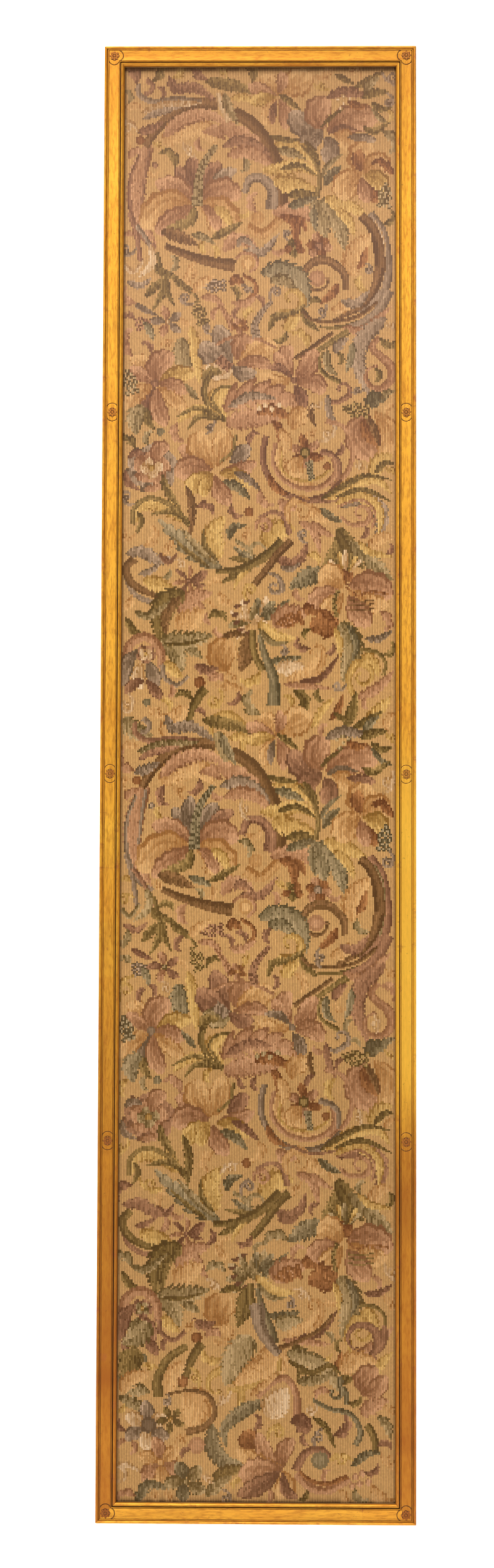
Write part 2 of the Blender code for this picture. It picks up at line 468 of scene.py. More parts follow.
def moulding_section():
    """Rows from the back of the outer edge, over the face, to the back of the rabbet.

    Each says how far in it lies, its drop behind the front plane, dirt held and rub taken.
    """
    rows = []

    def add(across, drop, recess=0.0, crest=0.0):
        rows.append({"across": across, "drop": drop, "recess": recess, "crest": crest})

    # outer edge and bead
    add(0.0, FRAME_DEPTH, 0.2)
    add(0.0, 0.0180, 0.15)
    add(0.0, 0.0090, 0.10)
    add(0.0, 0.0042, 0.05, 0.3)
    for across, drop in bead((0.0022, 0.0030), 0.0022, 0.0030, 180, -150):
        add(across, drop, 0.0, 1.0 if drop < 0.0012 else 0.5)
    # quirk, fillet and quirk
    add(0.0043, 0.0021, 0.25, 0.2)
    add(0.0045, 0.0029, 1.0)
    add(0.0047, 0.0029, 1.0)
    add(0.0049, 0.0021, 0.3, 0.3)
    add(0.0051, 0.0019, 0.0, 0.8)
    add(0.0055, 0.0018, 0.0, 0.4)
    add(0.0059, 0.0019, 0.0, 0.8)
    add(0.0061, 0.0022, 0.3, 0.3)
    add(0.00625, 0.0029, 1.0)
    add(0.0065, 0.0030, 1.0)
    add(0.0067, 0.0026, 0.35)
    # flat, very slightly dished
    steps = 26
    for index in range(steps + 1):
        share = index / steps
        dish = 0.0002 * math.sin(math.pi * share)
        edge = max(0.0, 1 - min(share, 1 - share) * 14)
        add(0.0070 + 0.0139 * share, FLAT_DROP - 0.0001 + dish, 0.15 * edge, 0.35 * edge)
    # inner quirk and fillet
    add(0.0211, 0.0027, 0.4)
    add(0.0213, 0.0031, 1.0)
    add(0.0215, 0.0029, 0.9)
    add(0.02175, 0.0021, 0.2, 0.5)
    add(0.0219, 0.0019, 0.0, 0.9)
    add(0.0222, 0.0019, 0.0, 0.9)
    add(0.0226, 0.0021, 0.2, 0.4)
    # deep cove and sight bead
    add(0.0228, 0.0034, 0.8)
    add(0.0230, 0.0049, 1.0)
    add(0.0234, 0.0050, 1.0)
    add(0.0237, 0.0040, 0.9)
    for across, drop in bead((0.0239, 0.0052), 0.0047, 0.0033, 82, -82):
        add(across, drop, 0.0, 0.9 if drop < 0.0026 else 0.3)
    add(0.0289, 0.0056, 0.5)
    # sight edge and rabbet
    add(RAIL_WIDTH, 0.0060, 0.6)
    add(RAIL_WIDTH, 0.0078, 0.9)
    add(RAIL_WIDTH, FRAME_DEPTH - RABBET_DEPTH, 1.0)
    add(RAIL_WIDTH - RABBET_WIDTH, FRAME_DEPTH - RABBET_DEPTH, 1.0)
    add(RAIL_WIDTH - RABBET_WIDTH, FRAME_DEPTH, 0.3)
    return rows


SECTION = moulding_section()
GILDED_ROWS = len(SECTION) - 3


def rail_stations(length, flowers):
    """Places along a rail, closer together where an arc is cut beside a flower."""
    half = length / 2
    places = set(np.round(np.linspace(-half, half, int(length / LONG_STEP) + 1), 6))
    for flower in flowers:
        near = CORNER_ARC_NEAR if abs(flower) > half - RAIL_WIDTH else ARC_NEAR
        for side in (-1, 1):
            for step in range(round((ARC_FAR - near) / ARC_STEP) + 1):
                at = flower + side * (near + ARC_STEP * step)
                if abs(at) < half - 0.001:
                    places.add(round(at, 6))
    return sorted(places)


def corner_softened(from_end, across):
    """Moves a point near the outer corner on to a small round."""
    if from_end >= CORNER_ROUND or across >= CORNER_ROUND:
        return from_end, across
    x = CORNER_ROUND - from_end
    y = CORNER_ROUND - across
    long = math.hypot(x, y)
    share = max(x, y) / long if long > 0 else 1.0
    return CORNER_ROUND - x * share, CORNER_ROUND - y * share


def arc_cut(along, across, flowers):
    """How deep the carver's arc runs at a point, from 0 to 1."""
    if not FLAT_START < across < FLAT_END:
        return 0.0
    deepest = 0.0
    for flower in flowers:
        ahead = abs(along - flower) - ARC_OFFSET
        off = abs(math.hypot(ahead, across - FLAT_MIDDLE) - ARC_RADIUS)
        if ahead > 0:
            deepest = max(deepest, 1 - (off / ARC_HALF_WIDTH) ** 2)
    return max(deepest, 0.0) ** 0.6


def build_rail(name, length, turn, middle, flowers, finishes, seed):
    """One mitred rail. Before its turn it runs along X, with its outer edge up at z = 0."""
    stations = rail_stations(length, flowers)
    zone = RAIL_WIDTH + 0.0005
    points = []
    wear = []
    turned = Euler((0.0, turn, 0.0)).to_matrix()
    offset = Vector((middle[0], 0.0, middle[1]))
    for at in stations:
        for row in SECTION:
            across = row["across"]
            from_end = length / 2 - abs(at)
            if from_end < zone:
                share = 1 - from_end / zone
                from_end = zone - share * (zone - across - MITRE_GAP)
            from_end, across = corner_softened(from_end, across)
            along = math.copysign(length / 2 - from_end, at)
            cut = arc_cut(along, row["across"], flowers)
            bump_at = Vector((along / 0.006, row["across"] / 0.002, seed))
            sway_at = Vector((along / 0.05, row["across"] / 0.02, seed + 9))
            knock = 0.00012 * row["crest"] * noise.noise(bump_at)
            sway = 0.00010 * noise.noise(sway_at)
            drop = row["drop"]
            if drop < DEEPEST_FACE:
                drop = max(drop + cut * ARC_DEPTH + abs(knock) + abs(sway), 0.0)
            point = Vector((along, -(FRAME_DEPTH - drop), -across))
            points.append(tuple(turned @ point + offset))
            wear.append((min(row["recess"] + cut, 1.0), row["crest"], 0.0, 1.0))
    count = len(SECTION)
    faces = []
    backs = []
    for station in range(len(stations) - 1):
        here = station * count
        there = here + count
        for index in range(count):
            following = (index + 1) % count
            faces.append((here + index, here + following, there + following, there + index))
            backs.append(0 if index < GILDED_ROWS - 1 else 1)
    last = (len(stations) - 1) * count
    faces.append(tuple(reversed(range(count))))
    faces.append(tuple(last + index for index in range(count)))
    backs += [1, 1]
    piece = make_piece(name + "_carved", points, faces, finishes, backs)
    paint_layer(piece, "wear", "POINT", wear)
    piece.data.shade_smooth()
    piece.data.set_sharp_from_angle(angle=ARRIS)
    map_rail(piece, stations, length)
    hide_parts(name)


def map_rail(piece, stations, length):
    """Cuts the rail's length into columns side by side, so that fine detail has room."""
    columns = max(1, round(length / COLUMN_LENGTH))
    girth = [0.0]
    for first, second in zip(SECTION, SECTION[1:] + SECTION[:1]):
        girth.append(girth[-1] + math.hypot(
            second["across"] - first["across"], second["drop"] - first["drop"]))
    total = girth[-1]
    count = len(SECTION)
    places = []
    step = length / columns
    for station in range(len(stations) - 1):
        low = stations[station] + length / 2
        high = stations[station + 1] + length / 2
        column = min(int((low + high) / 2 / step), columns - 1)
        for index in range(count):
            left = girth[index] / total
            right = girth[index + 1] / total
            bottom = (low - column * step) / step
            top = (high - column * step) / step
            for share, height in ((left, bottom), (right, bottom), (right, top), (left, top)):
                places.append(((column + 0.02 + 0.96 * share) / columns, 0.02 + 0.95 * height))
    for end in range(2):
        for index in range(count):
            row = SECTION[count - 1 - index if end == 0 else index]
            across = row["across"] / RAIL_WIDTH
            depth = row["drop"] / FRAME_DEPTH
            places.append((0.1 + 0.4 * end + 0.3 * across, 0.984 + 0.012 * depth))
    corner_map(piece, places)


# ------------------------ the rosettes


def off_petal(angle):
    """The angle from the middle of the nearest petal."""
    step = 2 * math.pi / PETALS
    return (angle + step / 2) % step - step / 2


def petal_height(radius, angle):
    """The carved flower's height over its seat, and how much dirt lies there."""
    out = (radius - PETAL_MIDDLE) / PETAL_HALF_LENGTH
    side = radius * math.sin(off_petal(angle)) / PETAL_HALF_WIDTH
    bowl = math.hypot(out, side)
    height = 0.00015
    recess = 1.0
    if bowl < 1:
        height += 0.00105 * math.sqrt(1 - bowl * bowl)
        height -= 0.00062 * math.exp(-(bowl / 0.42) ** 2)
        recess = 0.95 * max(0.0, bowl - 0.72) / 0.28 + 0.85 * math.exp(-(bowl / 0.40) ** 2)
    if radius < BUTTON_RADIUS:
        boss = math.sqrt(1 - (radius / BUTTON_RADIUS) ** 2)
        dimple = math.exp(-(radius / DIMPLE_RADIUS) ** 2)
        height = max(height, 0.0002 + 0.00110 * boss) - 0.0004 * dimple
        recess = 0.8 * (1 - boss) + 0.7 * dimple
    return height, min(recess, 1.0)


def build_rosette(name, finish, seed):
    """One carved flower, set by hand a hair off its mark."""
    low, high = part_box(name)
    middle_x = (low[0] + high[0]) / 2 + 0.0005 * wander(seed, 0.3, 1.0, 4.0)
    middle_z = (low[2] + high[2]) / 2 + 0.0007 * wander(seed, 0.8, 1.0, 6.0)
    seat = -(FRAME_DEPTH - FLAT_DROP) + 0.0002
    lean = 20 * wander(seed, 2.1, 1.0, 2.0)
    rings = 20
    spokes = 96
    height, recess = petal_height(0.0, 0.0)
    points = [(middle_x, seat - height, middle_z)]
    wear = [(recess, 0.0, RED_BROWN, 1.0)]
    for ring in range(1, rings + 1):
        for spoke in range(spokes):
            angle = 2 * math.pi * spoke / spokes
            edge = ROSETTE_RADIUS * (0.90 + 0.10 * math.cos(off_petal(angle) * 4) ** 2)
            radius = edge * ring / rings
            height, recess = petal_height(radius, angle)
            if ring == rings:
                height = 0.0
            height *= 1 + 0.12 * wander(radius * 300, angle * 2, 1.0, seed)
            spun = angle + math.radians(lean)
            x = middle_x + radius * math.cos(spun)
            z = middle_z + radius * math.sin(spun)
            points.append((x, seat - height, z))
            crest = 1.0 if recess < 0.2 else 0.3
            wear.append((max(recess, 0.25), crest, RED_BROWN, 1.0))
    faces = []
    for spoke in range(spokes):
        following = (spoke + 1) % spokes
        faces.append((0, 1 + spoke, 1 + following))
        for ring in range(rings - 1):
            near = 1 + ring * spokes
            far = near + spokes
            faces.append((near + spoke, far + spoke, far + following, near + following))
    back = 1 + (rings - 1) * spokes
    faces.append(tuple(back + spoke for spoke in reversed(range(spokes))))
    piece = make_piece(name + "_carved", points, faces, [finish])
    paint_layer(piece, "wear", "POINT", wear)
    piece.data.shade_smooth()
    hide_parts(name)


# ------------------------ the weaver's cartoon

# Dyed wools: the tone each is mostly used in, its darkest colour and its palest.
WOOLS = {
    "bark": (1.5, (84, 54, 22), (178, 130, 82)),
    "plum": (2.0, (98, 60, 40), (190, 138, 100)),
    "rose": (2.7, (130, 82, 50), (216, 162, 118)),
    "peach": (3.1, (158, 104, 50), (230, 180, 118)),
    "brick": (2.0, (100, 52, 20), (194, 132, 78)),
    "olive": (1.8, (74, 58, 18), (188, 152, 90)),
    "sage": (2.4, (84, 68, 30), (200, 169, 120)),
    "teal": (1.9, (70, 64, 38), (186, 162, 120)),
    "slate": (2.6, (90, 72, 52), (196, 164, 132)),
    "ochre": (3.0, (138, 96, 34), (232, 188, 112)),
    "cream": (3.0, (164, 118, 66), (242, 206, 162)),
    "ground": (2.0, (207, 160, 100), (207, 160, 100)),
}
TONES = 5
# Spines are divided into steps of about this many millimetres.
SPACING = 1.5
WOOL_NUMBER = {name: TONES * index for index, name in enumerate(WOOLS)}
USUAL_TONE = {name: tone for name, (tone, _, _) in WOOLS.items()}


def dye_table():
    """Linear colours of every wool and tone."""
    table = []
    for _, dark, pale in WOOLS.values():
        dark = np.array(dark, float)
        pale = np.array(pale, float)
        for tone in range(TONES):
            share = (dark + (pale - dark) * tone / (TONES - 1)) / 255
            table.append(((share + 0.055) / 1.055) ** 2.4)
    return np.array(table)


def curve(points):
    """A smooth run through a few given points."""
    p = np.asarray(points, float)
    if len(p) == 2:
        n = max(int(np.linalg.norm(p[1] - p[0]) / SPACING), 2)
        return p[0] + (p[1] - p[0]) * np.linspace(0, 1, n)[:, None]
    q = np.vstack([2 * p[0] - p[1], p, 2 * p[-1] - p[-2]])
    runs = []
    for a, b, c, d in zip(q, q[1:], q[2:], q[3:]):
        n = max(int(np.linalg.norm(c - b) / SPACING), 2)
        u = np.linspace(0, 1, n, endpoint=False)[:, None]
        runs.append(0.5 * (
            2 * b + (c - a) * u + (2 * a - 5 * b + 4 * c - d) * u ** 2
            + (3 * b - a - 3 * c + d) * u ** 3))
    return np.vstack(runs + [p[-1:]])


def coil(centre, start_radius, end_radius, start, sweep):
    """A spiral; start and sweep are in degrees, clockwise from the right."""
    n = max(int(abs(math.radians(sweep)) * (start_radius + end_radius) / 2 / SPACING), 8)
    u = np.linspace(0, 1, n)
    radius = start_radius * (end_radius / start_radius) ** u
    angle = np.radians(start + sweep * u)
    return np.stack([centre[0] + radius * np.cos(angle), centre[1] + radius * np.sin(angle)], 1)


def around(centre, radius, turn, squash=1.0):
    """A place at a distance and turn from a centre."""
    angle = math.radians(turn)
    return (centre[0] + radius * math.cos(angle), centre[1] + radius * math.sin(angle) * squash)


def swell(t, early):
    """0 at both ends and 1 between; early below 1 puts the widest place near the start."""
    return np.sin(np.pi * np.clip(t, 0, 1) ** early)


class Cartoon:
    """The chart that the cloth is woven from: one wool for each pick of each rib.

    Each motif is bent along a spine, whose points are given as x and y in turn: millimetres to
    the right of the cloth's middle, and down from its top sight edge. Tones run from 0, the
    darkest, to 4. Leaves wider than 9 mm get shallow lobes by themselves. In each motif t runs
    from 0 to 1 along the spine, and s from -1 to 1 across the motif.
    """

    def __init__(self, seed):
        self.wool = np.full((PICKS, RIBS), WOOL_NUMBER["ground"], np.int16)
        self.x = (np.arange(RIBS) + 0.5) * RIB - RIBS * RIB / 2
        self.y = (np.arange(PICKS) + 0.5) * PICK - TOP_TUCK
        random = np.random.default_rng(seed)
        hatch = random.normal(size=(PICKS, RIBS))
        keep = random.random((PICKS, RIBS)) < 0.75
        for pick in range(1, PICKS):
            hatch[pick] = np.where(keep[pick], hatch[pick - 1], hatch[pick])
        self.hatch = hatch
        self.down = 0.0
        self.change = {}

    def moved(self, points):
        """Points moved down to the drop that is being drawn."""
        return np.asarray(points, float) + np.array([0.0, self.down])

    def window(self, low, high):
        """The area of the chart between two corners, and where its picks lie."""
        left, right = np.searchsorted(self.x, (low[0], high[0]))
        top, bottom = np.searchsorted(self.y, (low[1], high[1]))
        gx, gy = np.meshgrid(self.x[left:right], self.y[top:bottom])
        return (slice(top, bottom), slice(left, right)), gx, gy

    def paint(self, area, mask, wool, tone, rough=0.30):
        """Lays a wool where the mask is true, its tones hatched into each other."""
        wool = self.change.get(wool, wool)
        tone = np.clip(np.rint(tone + rough * self.hatch[area]), 0, TONES - 1)
        self.wool[area][mask] = (WOOL_NUMBER[wool] + tone.astype(np.int16))[mask]

    def along(self, points, reach):
        """Picks near a spine: their share of its length and how far off it they lie.

        The spine is given by a few points or as one finished run.
        """
        spine = self.moved(points[0] if len(points) == 1 else curve(np.reshape(points, (-1, 2))))
        area, gx, gy = self.window(spine.min(0) - reach, spine.max(0) + reach)
        flat = np.stack([gx.ravel(), gy.ravel()], 1)
        near = np.argmin(((flat[:, None, :] - spine[None, :, :]) ** 2).sum(2), axis=1)
        way = np.gradient(spine, axis=0)
        way /= np.linalg.norm(way, axis=1, keepdims=True) + 1e-9
        gap = flat - spine[near]
        ahead = (gap * way[near]).sum(1)
        off = gap[:, 1] * way[near, 0] - gap[:, 0] * way[near, 1]
        long = np.concatenate([[0], np.cumsum(np.linalg.norm(np.diff(spine, axis=0), axis=1))])
        t = (long[near] + ahead) / long[-1]
        return area, t.reshape(gx.shape), off.reshape(gx.shape), long[-1]

    def stem(self, wool, start, end, *points, light=1, bark=0.0):
        """A round stem, dark along both rims and light along one side of its ridge."""
        area, t, off, total = self.along(points, max(start, end))
        half = (start + (end - start) * np.clip(t, 0, 1)) / 2
        s = off / half
        mask = (np.abs(s) <= 1) & (t > -0.5 / total) & (t < 1 + 0.5 / total)
        tone = min(USUAL_TONE[wool] + 1.2, 3.4) - 2.4 * np.abs(s - 0.3 * light) - bark
        if start > 11:
            # A thick stem has short dark strokes up its shaded side.
            tone = tone - 1.6 * ((t * total / 5.2 % 1 < 0.5) & (np.abs(s + 0.45 * light) < 0.22))
        self.paint(area, mask, wool, tone)

    def leaf(self, wool, width, *points, lobes=0, light=1, left=1.0, right=1.0, slant=0.9,
             base=None):
        """A leaf on a bent rib. Its lobes point forward, and one side lies in the light."""
        area, t, off, total = self.along(points, width * 0.6 + 3)
        base = USUAL_TONE[wool] if base is None else base
        vein = -1.2 if base < 2.5 else -0.5
        side = np.where(off > 0, right, left)
        half = width / 2 * side * swell(t, 0.75) ** 0.65 + 0.01
        depth = 0.5
        if width > 9 and not lobes:
            lobes = max(3, round(total / 9))
            depth = 0.32
        if lobes:
            phase = (lobes * (t - slant * np.abs(off) / total)) % 1
            half = half * (1 - depth + depth * np.sin(np.pi * phase ** 1.5) ** 0.7)
        s = off / half
        mask = (np.abs(s) <= 1) & (t >= 0) & (t <= 1)
        tone = base + 0.3 + s * light + 1.2 * (t - 0.5)
        tone = tone - 1.7 * (np.abs(s) > np.where(s * light < 0, 0.72, 0.88))
        if lobes:
            tone = tone + 0.9 * (phase - 0.5) - 1.1 * ((phase < 0.2) & (np.abs(s) > 0.2))
        tone = np.where(np.abs(off) < 1.3, tone + vein, tone)
        self.paint(area, mask, wool, tone)

    def petal(self, wool, width, *points, light=1, base=None, early=1.25, blunt=0.6,
              crease=True, ruffle=0.08):
        """A petal on a bent rib, dark in the throat and paler towards its lip."""
        area, t, off, _ = self.along(points, width * 0.65 + 3)
        base = USUAL_TONE[wool] if base is None else base
        half = width / 2 * swell(t, early) ** blunt + 0.01
        if ruffle:
            half = half * (1 + ruffle * np.sin(9 * np.pi * t) * np.sign(off))
        s = off / half
        mask = (np.abs(s) <= 1) & (t >= 0) & (t <= 1)
        throat = 1.71 * (1 - np.clip(t, 0, 1)) ** 1.5
        tone = base + 0.45 - throat + 1.2 * (t - 0.5) + 0.8 * s * light
        tone = tone - 2.2 * (np.abs(s) > np.where(s * light < 0, 0.74, 0.88))
        tone = tone - 1.3 * (np.cos(3.2 * np.pi * s * (1.25 - 0.5 * t)) < -0.45) * (t < 0.86)
        if crease:
            tone = tone - ((np.abs(s + 0.1) < 0.14) & (t < 0.75))
        self.paint(area, mask, wool, tone)

    def disc(self, wool, centre, radius, rim, middle):
        """A round berry, ball or pearl with a rim of another tone."""
        centre = self.moved(centre)
        area, gx, gy = self.window(centre - radius - 2, centre + radius + 2)
        out = np.hypot(gx - centre[0], gy - centre[1]) / radius
        self.paint(area, out <= 1, wool, np.where(out > 0.62, rim, middle), 0.15)

    def berries(self, wool, centre, turn, count, size, rim=0.4, middle=3.6):
        """A tapering bunch, in rows of one to three berries."""
        angle = math.radians(turn)
        placed = 0
        for row, per in enumerate((1, 2, 3, 3, 2, 3, 2, 1, 1)):
            if placed >= count:
                return
            for k in range(per):
                ahead = row * size * 1.75
                side = (k - (per - 1) / 2) * size * 2.0
                at = (centre[0] + ahead * math.cos(angle) - side * math.sin(angle),
                      centre[1] + ahead * math.sin(angle) + side * math.cos(angle))
                self.disc(wool, at, size, rim, middle)
                placed += 1

    def spike(self, wool, start, end, bars, *points):
        """A tapering spike of beads in two staggered rows."""
        area, t, off, _ = self.along(points, max(start, end))
        half = (start + (end - start) * np.clip(t, 0, 1)) / 2
        s = off / half
        mask = (np.abs(s) <= 1) & (t >= 0) & (t <= 1)
        bead = (t * bars + 0.25 * np.sign(s)) % 1
        tone = np.where(bead < 0.45, 0.5, 3.2) - 0.8 * (np.abs(s) < 0.18) - 0.6 * (np.abs(s) > 0.8)
        self.paint(area, mask, wool, tone, 0.15)

    def star(self, wools, centre, radius, petals, turn, width, heart, heart_size=0.16):
        """A flower seen face on: pointed petals about a heart, every other one behind."""
        bend = 12
        order = list(range(0, petals, 2)) + list(range(1, petals, 2))
        for number, k in enumerate(order):
            angle = turn + 360 * k / petals
            long = radius * (1.0 if number >= len(order) // 2 else 1.08)
            near = around(centre, long * 0.08, angle)
            middle = around(centre, long * 0.55, angle + bend)
            tip = around(centre, long, angle + bend * 0.4)
            light = 1 if math.cos(math.radians(angle)) > 0 else -1
            self.petal(wools[k % len(wools)], radius * width, *near, *middle, *tip, light=light,
                       early=1.1, blunt=0.75)
        self.disc(heart, centre, max(radius * heart_size, 3), 0.3, 2.8)

    def bloom(self, wools, centre, radius, petals, turn):
        """A full flower of broad round petals in rings, paler inwards."""
        squash = 0.92
        rings = (
            (1.0, petals, wools[0]), (0.72, petals - 1, wools[1]), (0.45, petals - 2, wools[-1]))
        for ring, (far, count, wool) in enumerate(rings):
            for k in range(count):
                angle = turn + 360 * k / count + ring * 25
                near = around(centre, radius * far * 0.1, angle, squash)
                middle = around(centre, radius * far * 0.6, angle + 8, squash)
                tip = around(centre, radius * far, angle, squash)
                light = 1 if math.cos(math.radians(angle + 40)) > 0 else -1
                self.petal(wool, radius * far * 1.05, *near, *middle, *tip, light=light,
                           early=1.7, blunt=0.45, base=2.3 + 0.2 * ring, crease=False)
        self.disc("ochre", centre, max(radius * 0.13, 3.2), 0.4, 2.6)

    def fan(self, wools, base, aim, length, petals, spread, width, ruffle=0.0):
        """A flower from the side, its petals fanned out."""
        for k in sorted(range(petals), key=lambda k: -abs(k - (petals - 1) / 2)):
            share = k / (petals - 1) - 0.5
            angle = aim + spread * share
            far = length * (1 - 0.32 * abs(share))
            middle = around(base, far * 0.55, angle - 10 * share)
            tip = around(base, far, angle + 8 * share)
            self.petal(wools[k % len(wools)], length * width, *base, *middle, *tip,
                       light=1 if share < 0 else -1, early=1.5, blunt=0.5, ruffle=ruffle)

    def curl(self, wool, start, widest, centre, sweep, *points, inner=0.35, base=2.1,
             shrink=0.3):
        """A scroll that ends in a coil about a centre; its points lead up to the coil."""
        points = np.reshape(points, (-1, 2)).astype(float)
        last = points[-1]
        centre = np.array(centre, float)
        start_deg = math.degrees(math.atan2(last[1] - centre[1], last[0] - centre[0]))
        radius = np.linalg.norm(last - centre)
        turns = coil(centre, radius, radius * shrink, start_deg, sweep)
        area, t, off, _ = self.along([np.vstack([curve(points)[:-1], turns])], widest + 3)
        end = 2.6
        grow = np.clip(t / 0.45, 0, 1) ** 0.8
        fall = np.clip((t - 0.45) / 0.55, 0, 1) ** 0.8
        full = np.where(t < 0.45, start + (widest - start) * grow, widest + (end - widest) * fall)
        outer = np.sign(off) == -math.copysign(1, sweep)
        half = np.where(outer, full * (1 - inner), full * inner) + 0.01
        s = np.abs(off) / half
        mask = (s <= 1) & (t >= 0) & (t <= 1)
        tone = np.where(outer, base + 1.5 * (0.6 - s), base - 0.4 - 1.2 * s) - 0.9 * (s > 0.8)
        self.paint(area, mask, wool, tone)
        self.disc(wool, turns[-1], 3.4, 0.3, 3.0)


# ------------------------ the pattern

REPEAT = 927.0
# Wools that change places in the second drop.
SECOND_DROP = {"plum": "slate", "slate": "plum", "cream": "sage", "sage": "teal"}
SECOND_FOOT = {**SECOND_DROP, "bark": "olive", "sage": "sage", "plum": "plum"}


def draw_rings(d):
    """The head of the repeat: the great ring and its flower, the crossing and the right scroll."""
    leaf, petal, stem, curl = d.leaf, d.petal, d.stem, d.curl
    # strands down the left of the ring
    leaf("rose", 30, -158, 108, -176, 160, -176, 215, -150, 258)
    stem("plum", 4, 8, -174, 128, -187, 165, -186, 212, -170, 248, -150, 264, light=-1)
    stem("plum", 5, 4, -160, 120, -166, 158, -170, 198)
    stem("plum", 8, 7, -188, 212, -178, 245, -172, 284)
    stem("slate", 7, 6, -178, 232, -162, 254, -148, 284)
    # the great ring
    stem("bark", 12, 18, -166, 116, -150, 92, -126, 68, -96, 54, -62, 54, light=-1)
    stem("bark", 18, 20, -38, 66, -12, 82, 8, 108, 20, 134, 28, 146, bark=0.6)
    stem("bark", 19, 19, 31, 166, 31, 186, 30, 209, bark=0.8)
    stem("bark", 9, 19, -136, 262, -112, 272, -78, 283, -36, 291, bark=0.5)
    # acanthus lining the ring
    leaf("peach", 40, -138, 112, -116, 92, -86, 88, -62, 112)
    leaf("rose", 24, -140, 102, -112, 78, -76, 70, -44, 84, light=-1)
    leaf("rose", 34, -84, 94, -44, 88, -8, 106, 18, 146, lobes=6, left=0.5, right=1.2, light=-1)
    leaf("plum", 20, -54, 116, -26, 108, 2, 122, 20, 150, base=2.7)
    leaf("rose", 22, -48, 130, -20, 124, 4, 134, 18, 152)
    stem("slate", 18, 10, 16, 208, 18, 182, 4, 164, -14, 164, -22, 184)
    # top left curl and leaves over the ring
    stem("plum", 9, 6, -164, 18, -155, 27, -160, 37, -168, 38)
    stem("slate", 9, 7, -176, 24, -174, 40, -154, 50, -118, 46, -86, 51)
    leaf("plum", 19, -132, 13, -122, 31, -94, 30, -62, 50, light=-1)
    leaf("cream", 15, -172, 66, -136, 56, -84, 52, base=2.2)
    leaf("slate", 12, -170, 76, -146, 66, -112, 58, light=-1)
    leaf("plum", 16, -178, 96, -158, 90, -140, 80)
    leaf("peach", 12, -196, 60, -182, 56, -168, 62)
    d.disc("brick", (-173, 107), 6.5, 1.2, 2.2)
    leaf("rose", 14, -190, 134, -182, 124, -168, 120)
    # cuff
    leaf("olive", 21, -80, 20, -54, 24, -26, 30, -4, 40, light=-1)
    leaf("ochre", 14, -42, 46, -24, 44, -8, 50)
    stem("cream", 13, 14, -58, 38, -54, 56, -42, 78)
    leaf("sage", 15, -52, 38, -46, 58, -32, 84, light=-1)
    # flower in the ring
    petal("plum", 24, -92, 190, -106, 164, -122, 146)
    petal("plum", 22, -92, 176, -98, 152, -96, 128)
    petal("plum", 26, -84, 188, -72, 160, -58, 138, light=-1)
    petal("slate", 20, -74, 176, -54, 160, -34, 150, light=-1)
    petal("rose", 30, -94, 196, -120, 176, -152, 170)
    petal("rose", 38, -88, 198, -58, 180, -26, 190)
    petal("peach", 50, -98, 200, -132, 200, -170, 236, light=-1)
    petal("rose", 34, -96, 202, -112, 214, -150, 244, light=-1)
    petal("peach", 52, -88, 200, -60, 212, -42, 246)
    petal("rose", 20, -84, 202, -68, 216, -58, 240)
    leaf("ochre", 18, -66, 204, -50, 216, -40, 236)
    leaf("olive", 18, -94, 204, -102, 226, -142, 240, base=2.5)
    leaf("bark", 21, -142, 240, -116, 248, -90, 260, light=-1)
    leaf("sage", 13, -98, 244, -80, 250, -64, 258)
    leaf("olive", 13, -70, 251, -48, 240, -24, 226, light=-1)
    d.spike("sage", 16, 8, 12, -90, 204, -89, 170, -82, 142, -63, 114)
    d.disc("plum", (-152, 143), 4.5, 0.8, 3.4)
    # ball, trumpet and small blossoms
    stem("peach", 16, 12, -18, 234, 4, 244, 22, 230, 38, 214, 62, 214, bark=0.4)
    d.disc("peach", (-3, 221), 10, 1.6, 2.4)
    leaf("rose", 26, 18, 214, 50, 210, 78, 220, 84, 242, light=-1)
    leaf("brick", 18, 30, 218, 50, 228, 52, 258)
    leaf("brick", 11, 52, 218, 62, 228, 68, 242, light=-1)
    d.star(("brick", "olive"), (50, 264), 15, 5, 10, 0.8, "olive")
    d.star(("rose", "brick"), (86, 262), 19, 6, 0, 0.75, "plum", heart_size=0.32)
    leaf("rose", 22, -52, 270, -36, 252, -14, 258, -6, 272, light=-1)
    leaf("slate", 15, -24, 268, 4, 270, 28, 244, light=-1)
    leaf("slate", 9, -34, 264, -24, 252, -4, 266)
    stem("rose", 5, 5, -34, 280, -24, 272, -8, 276, -4, 290, -14, 300)
    d.disc("peach", (-17, 287), 10, 2.2, 3.8)
    # white curl, lower left
    leaf("cream", 14, -158, 260, -154, 286, -176, 308)
    stem("cream", 8, 5, -194, 290, -182, 300, -168, 284)
    leaf("slate", 11, -192, 312, -172, 320, -156, 308, light=-1)
    # lily, top middle
    petal("peach", 28, 26, 42, 16, 26, 2, 12)
    petal("rose", 22, 24, 42, 6, 36, -18, 26)
    petal("ochre", 20, 24, 44, 4, 46, -16, 52)
    petal("peach", 22, 24, 46, 14, 64, 8, 86)
    petal("plum", 12, 24, 48, 18, 66, 18, 84)
    petal("rose", 20, 27, 46, 36, 66, 36, 92, light=-1)
    petal("peach", 44, 28, 40, 50, 24, 76, 12, light=-1)
    petal("rose", 18, 26, 38, 32, 22, 30, 6)
    leaf("olive", 11, 27, 40, 42, 50, 58, 62)
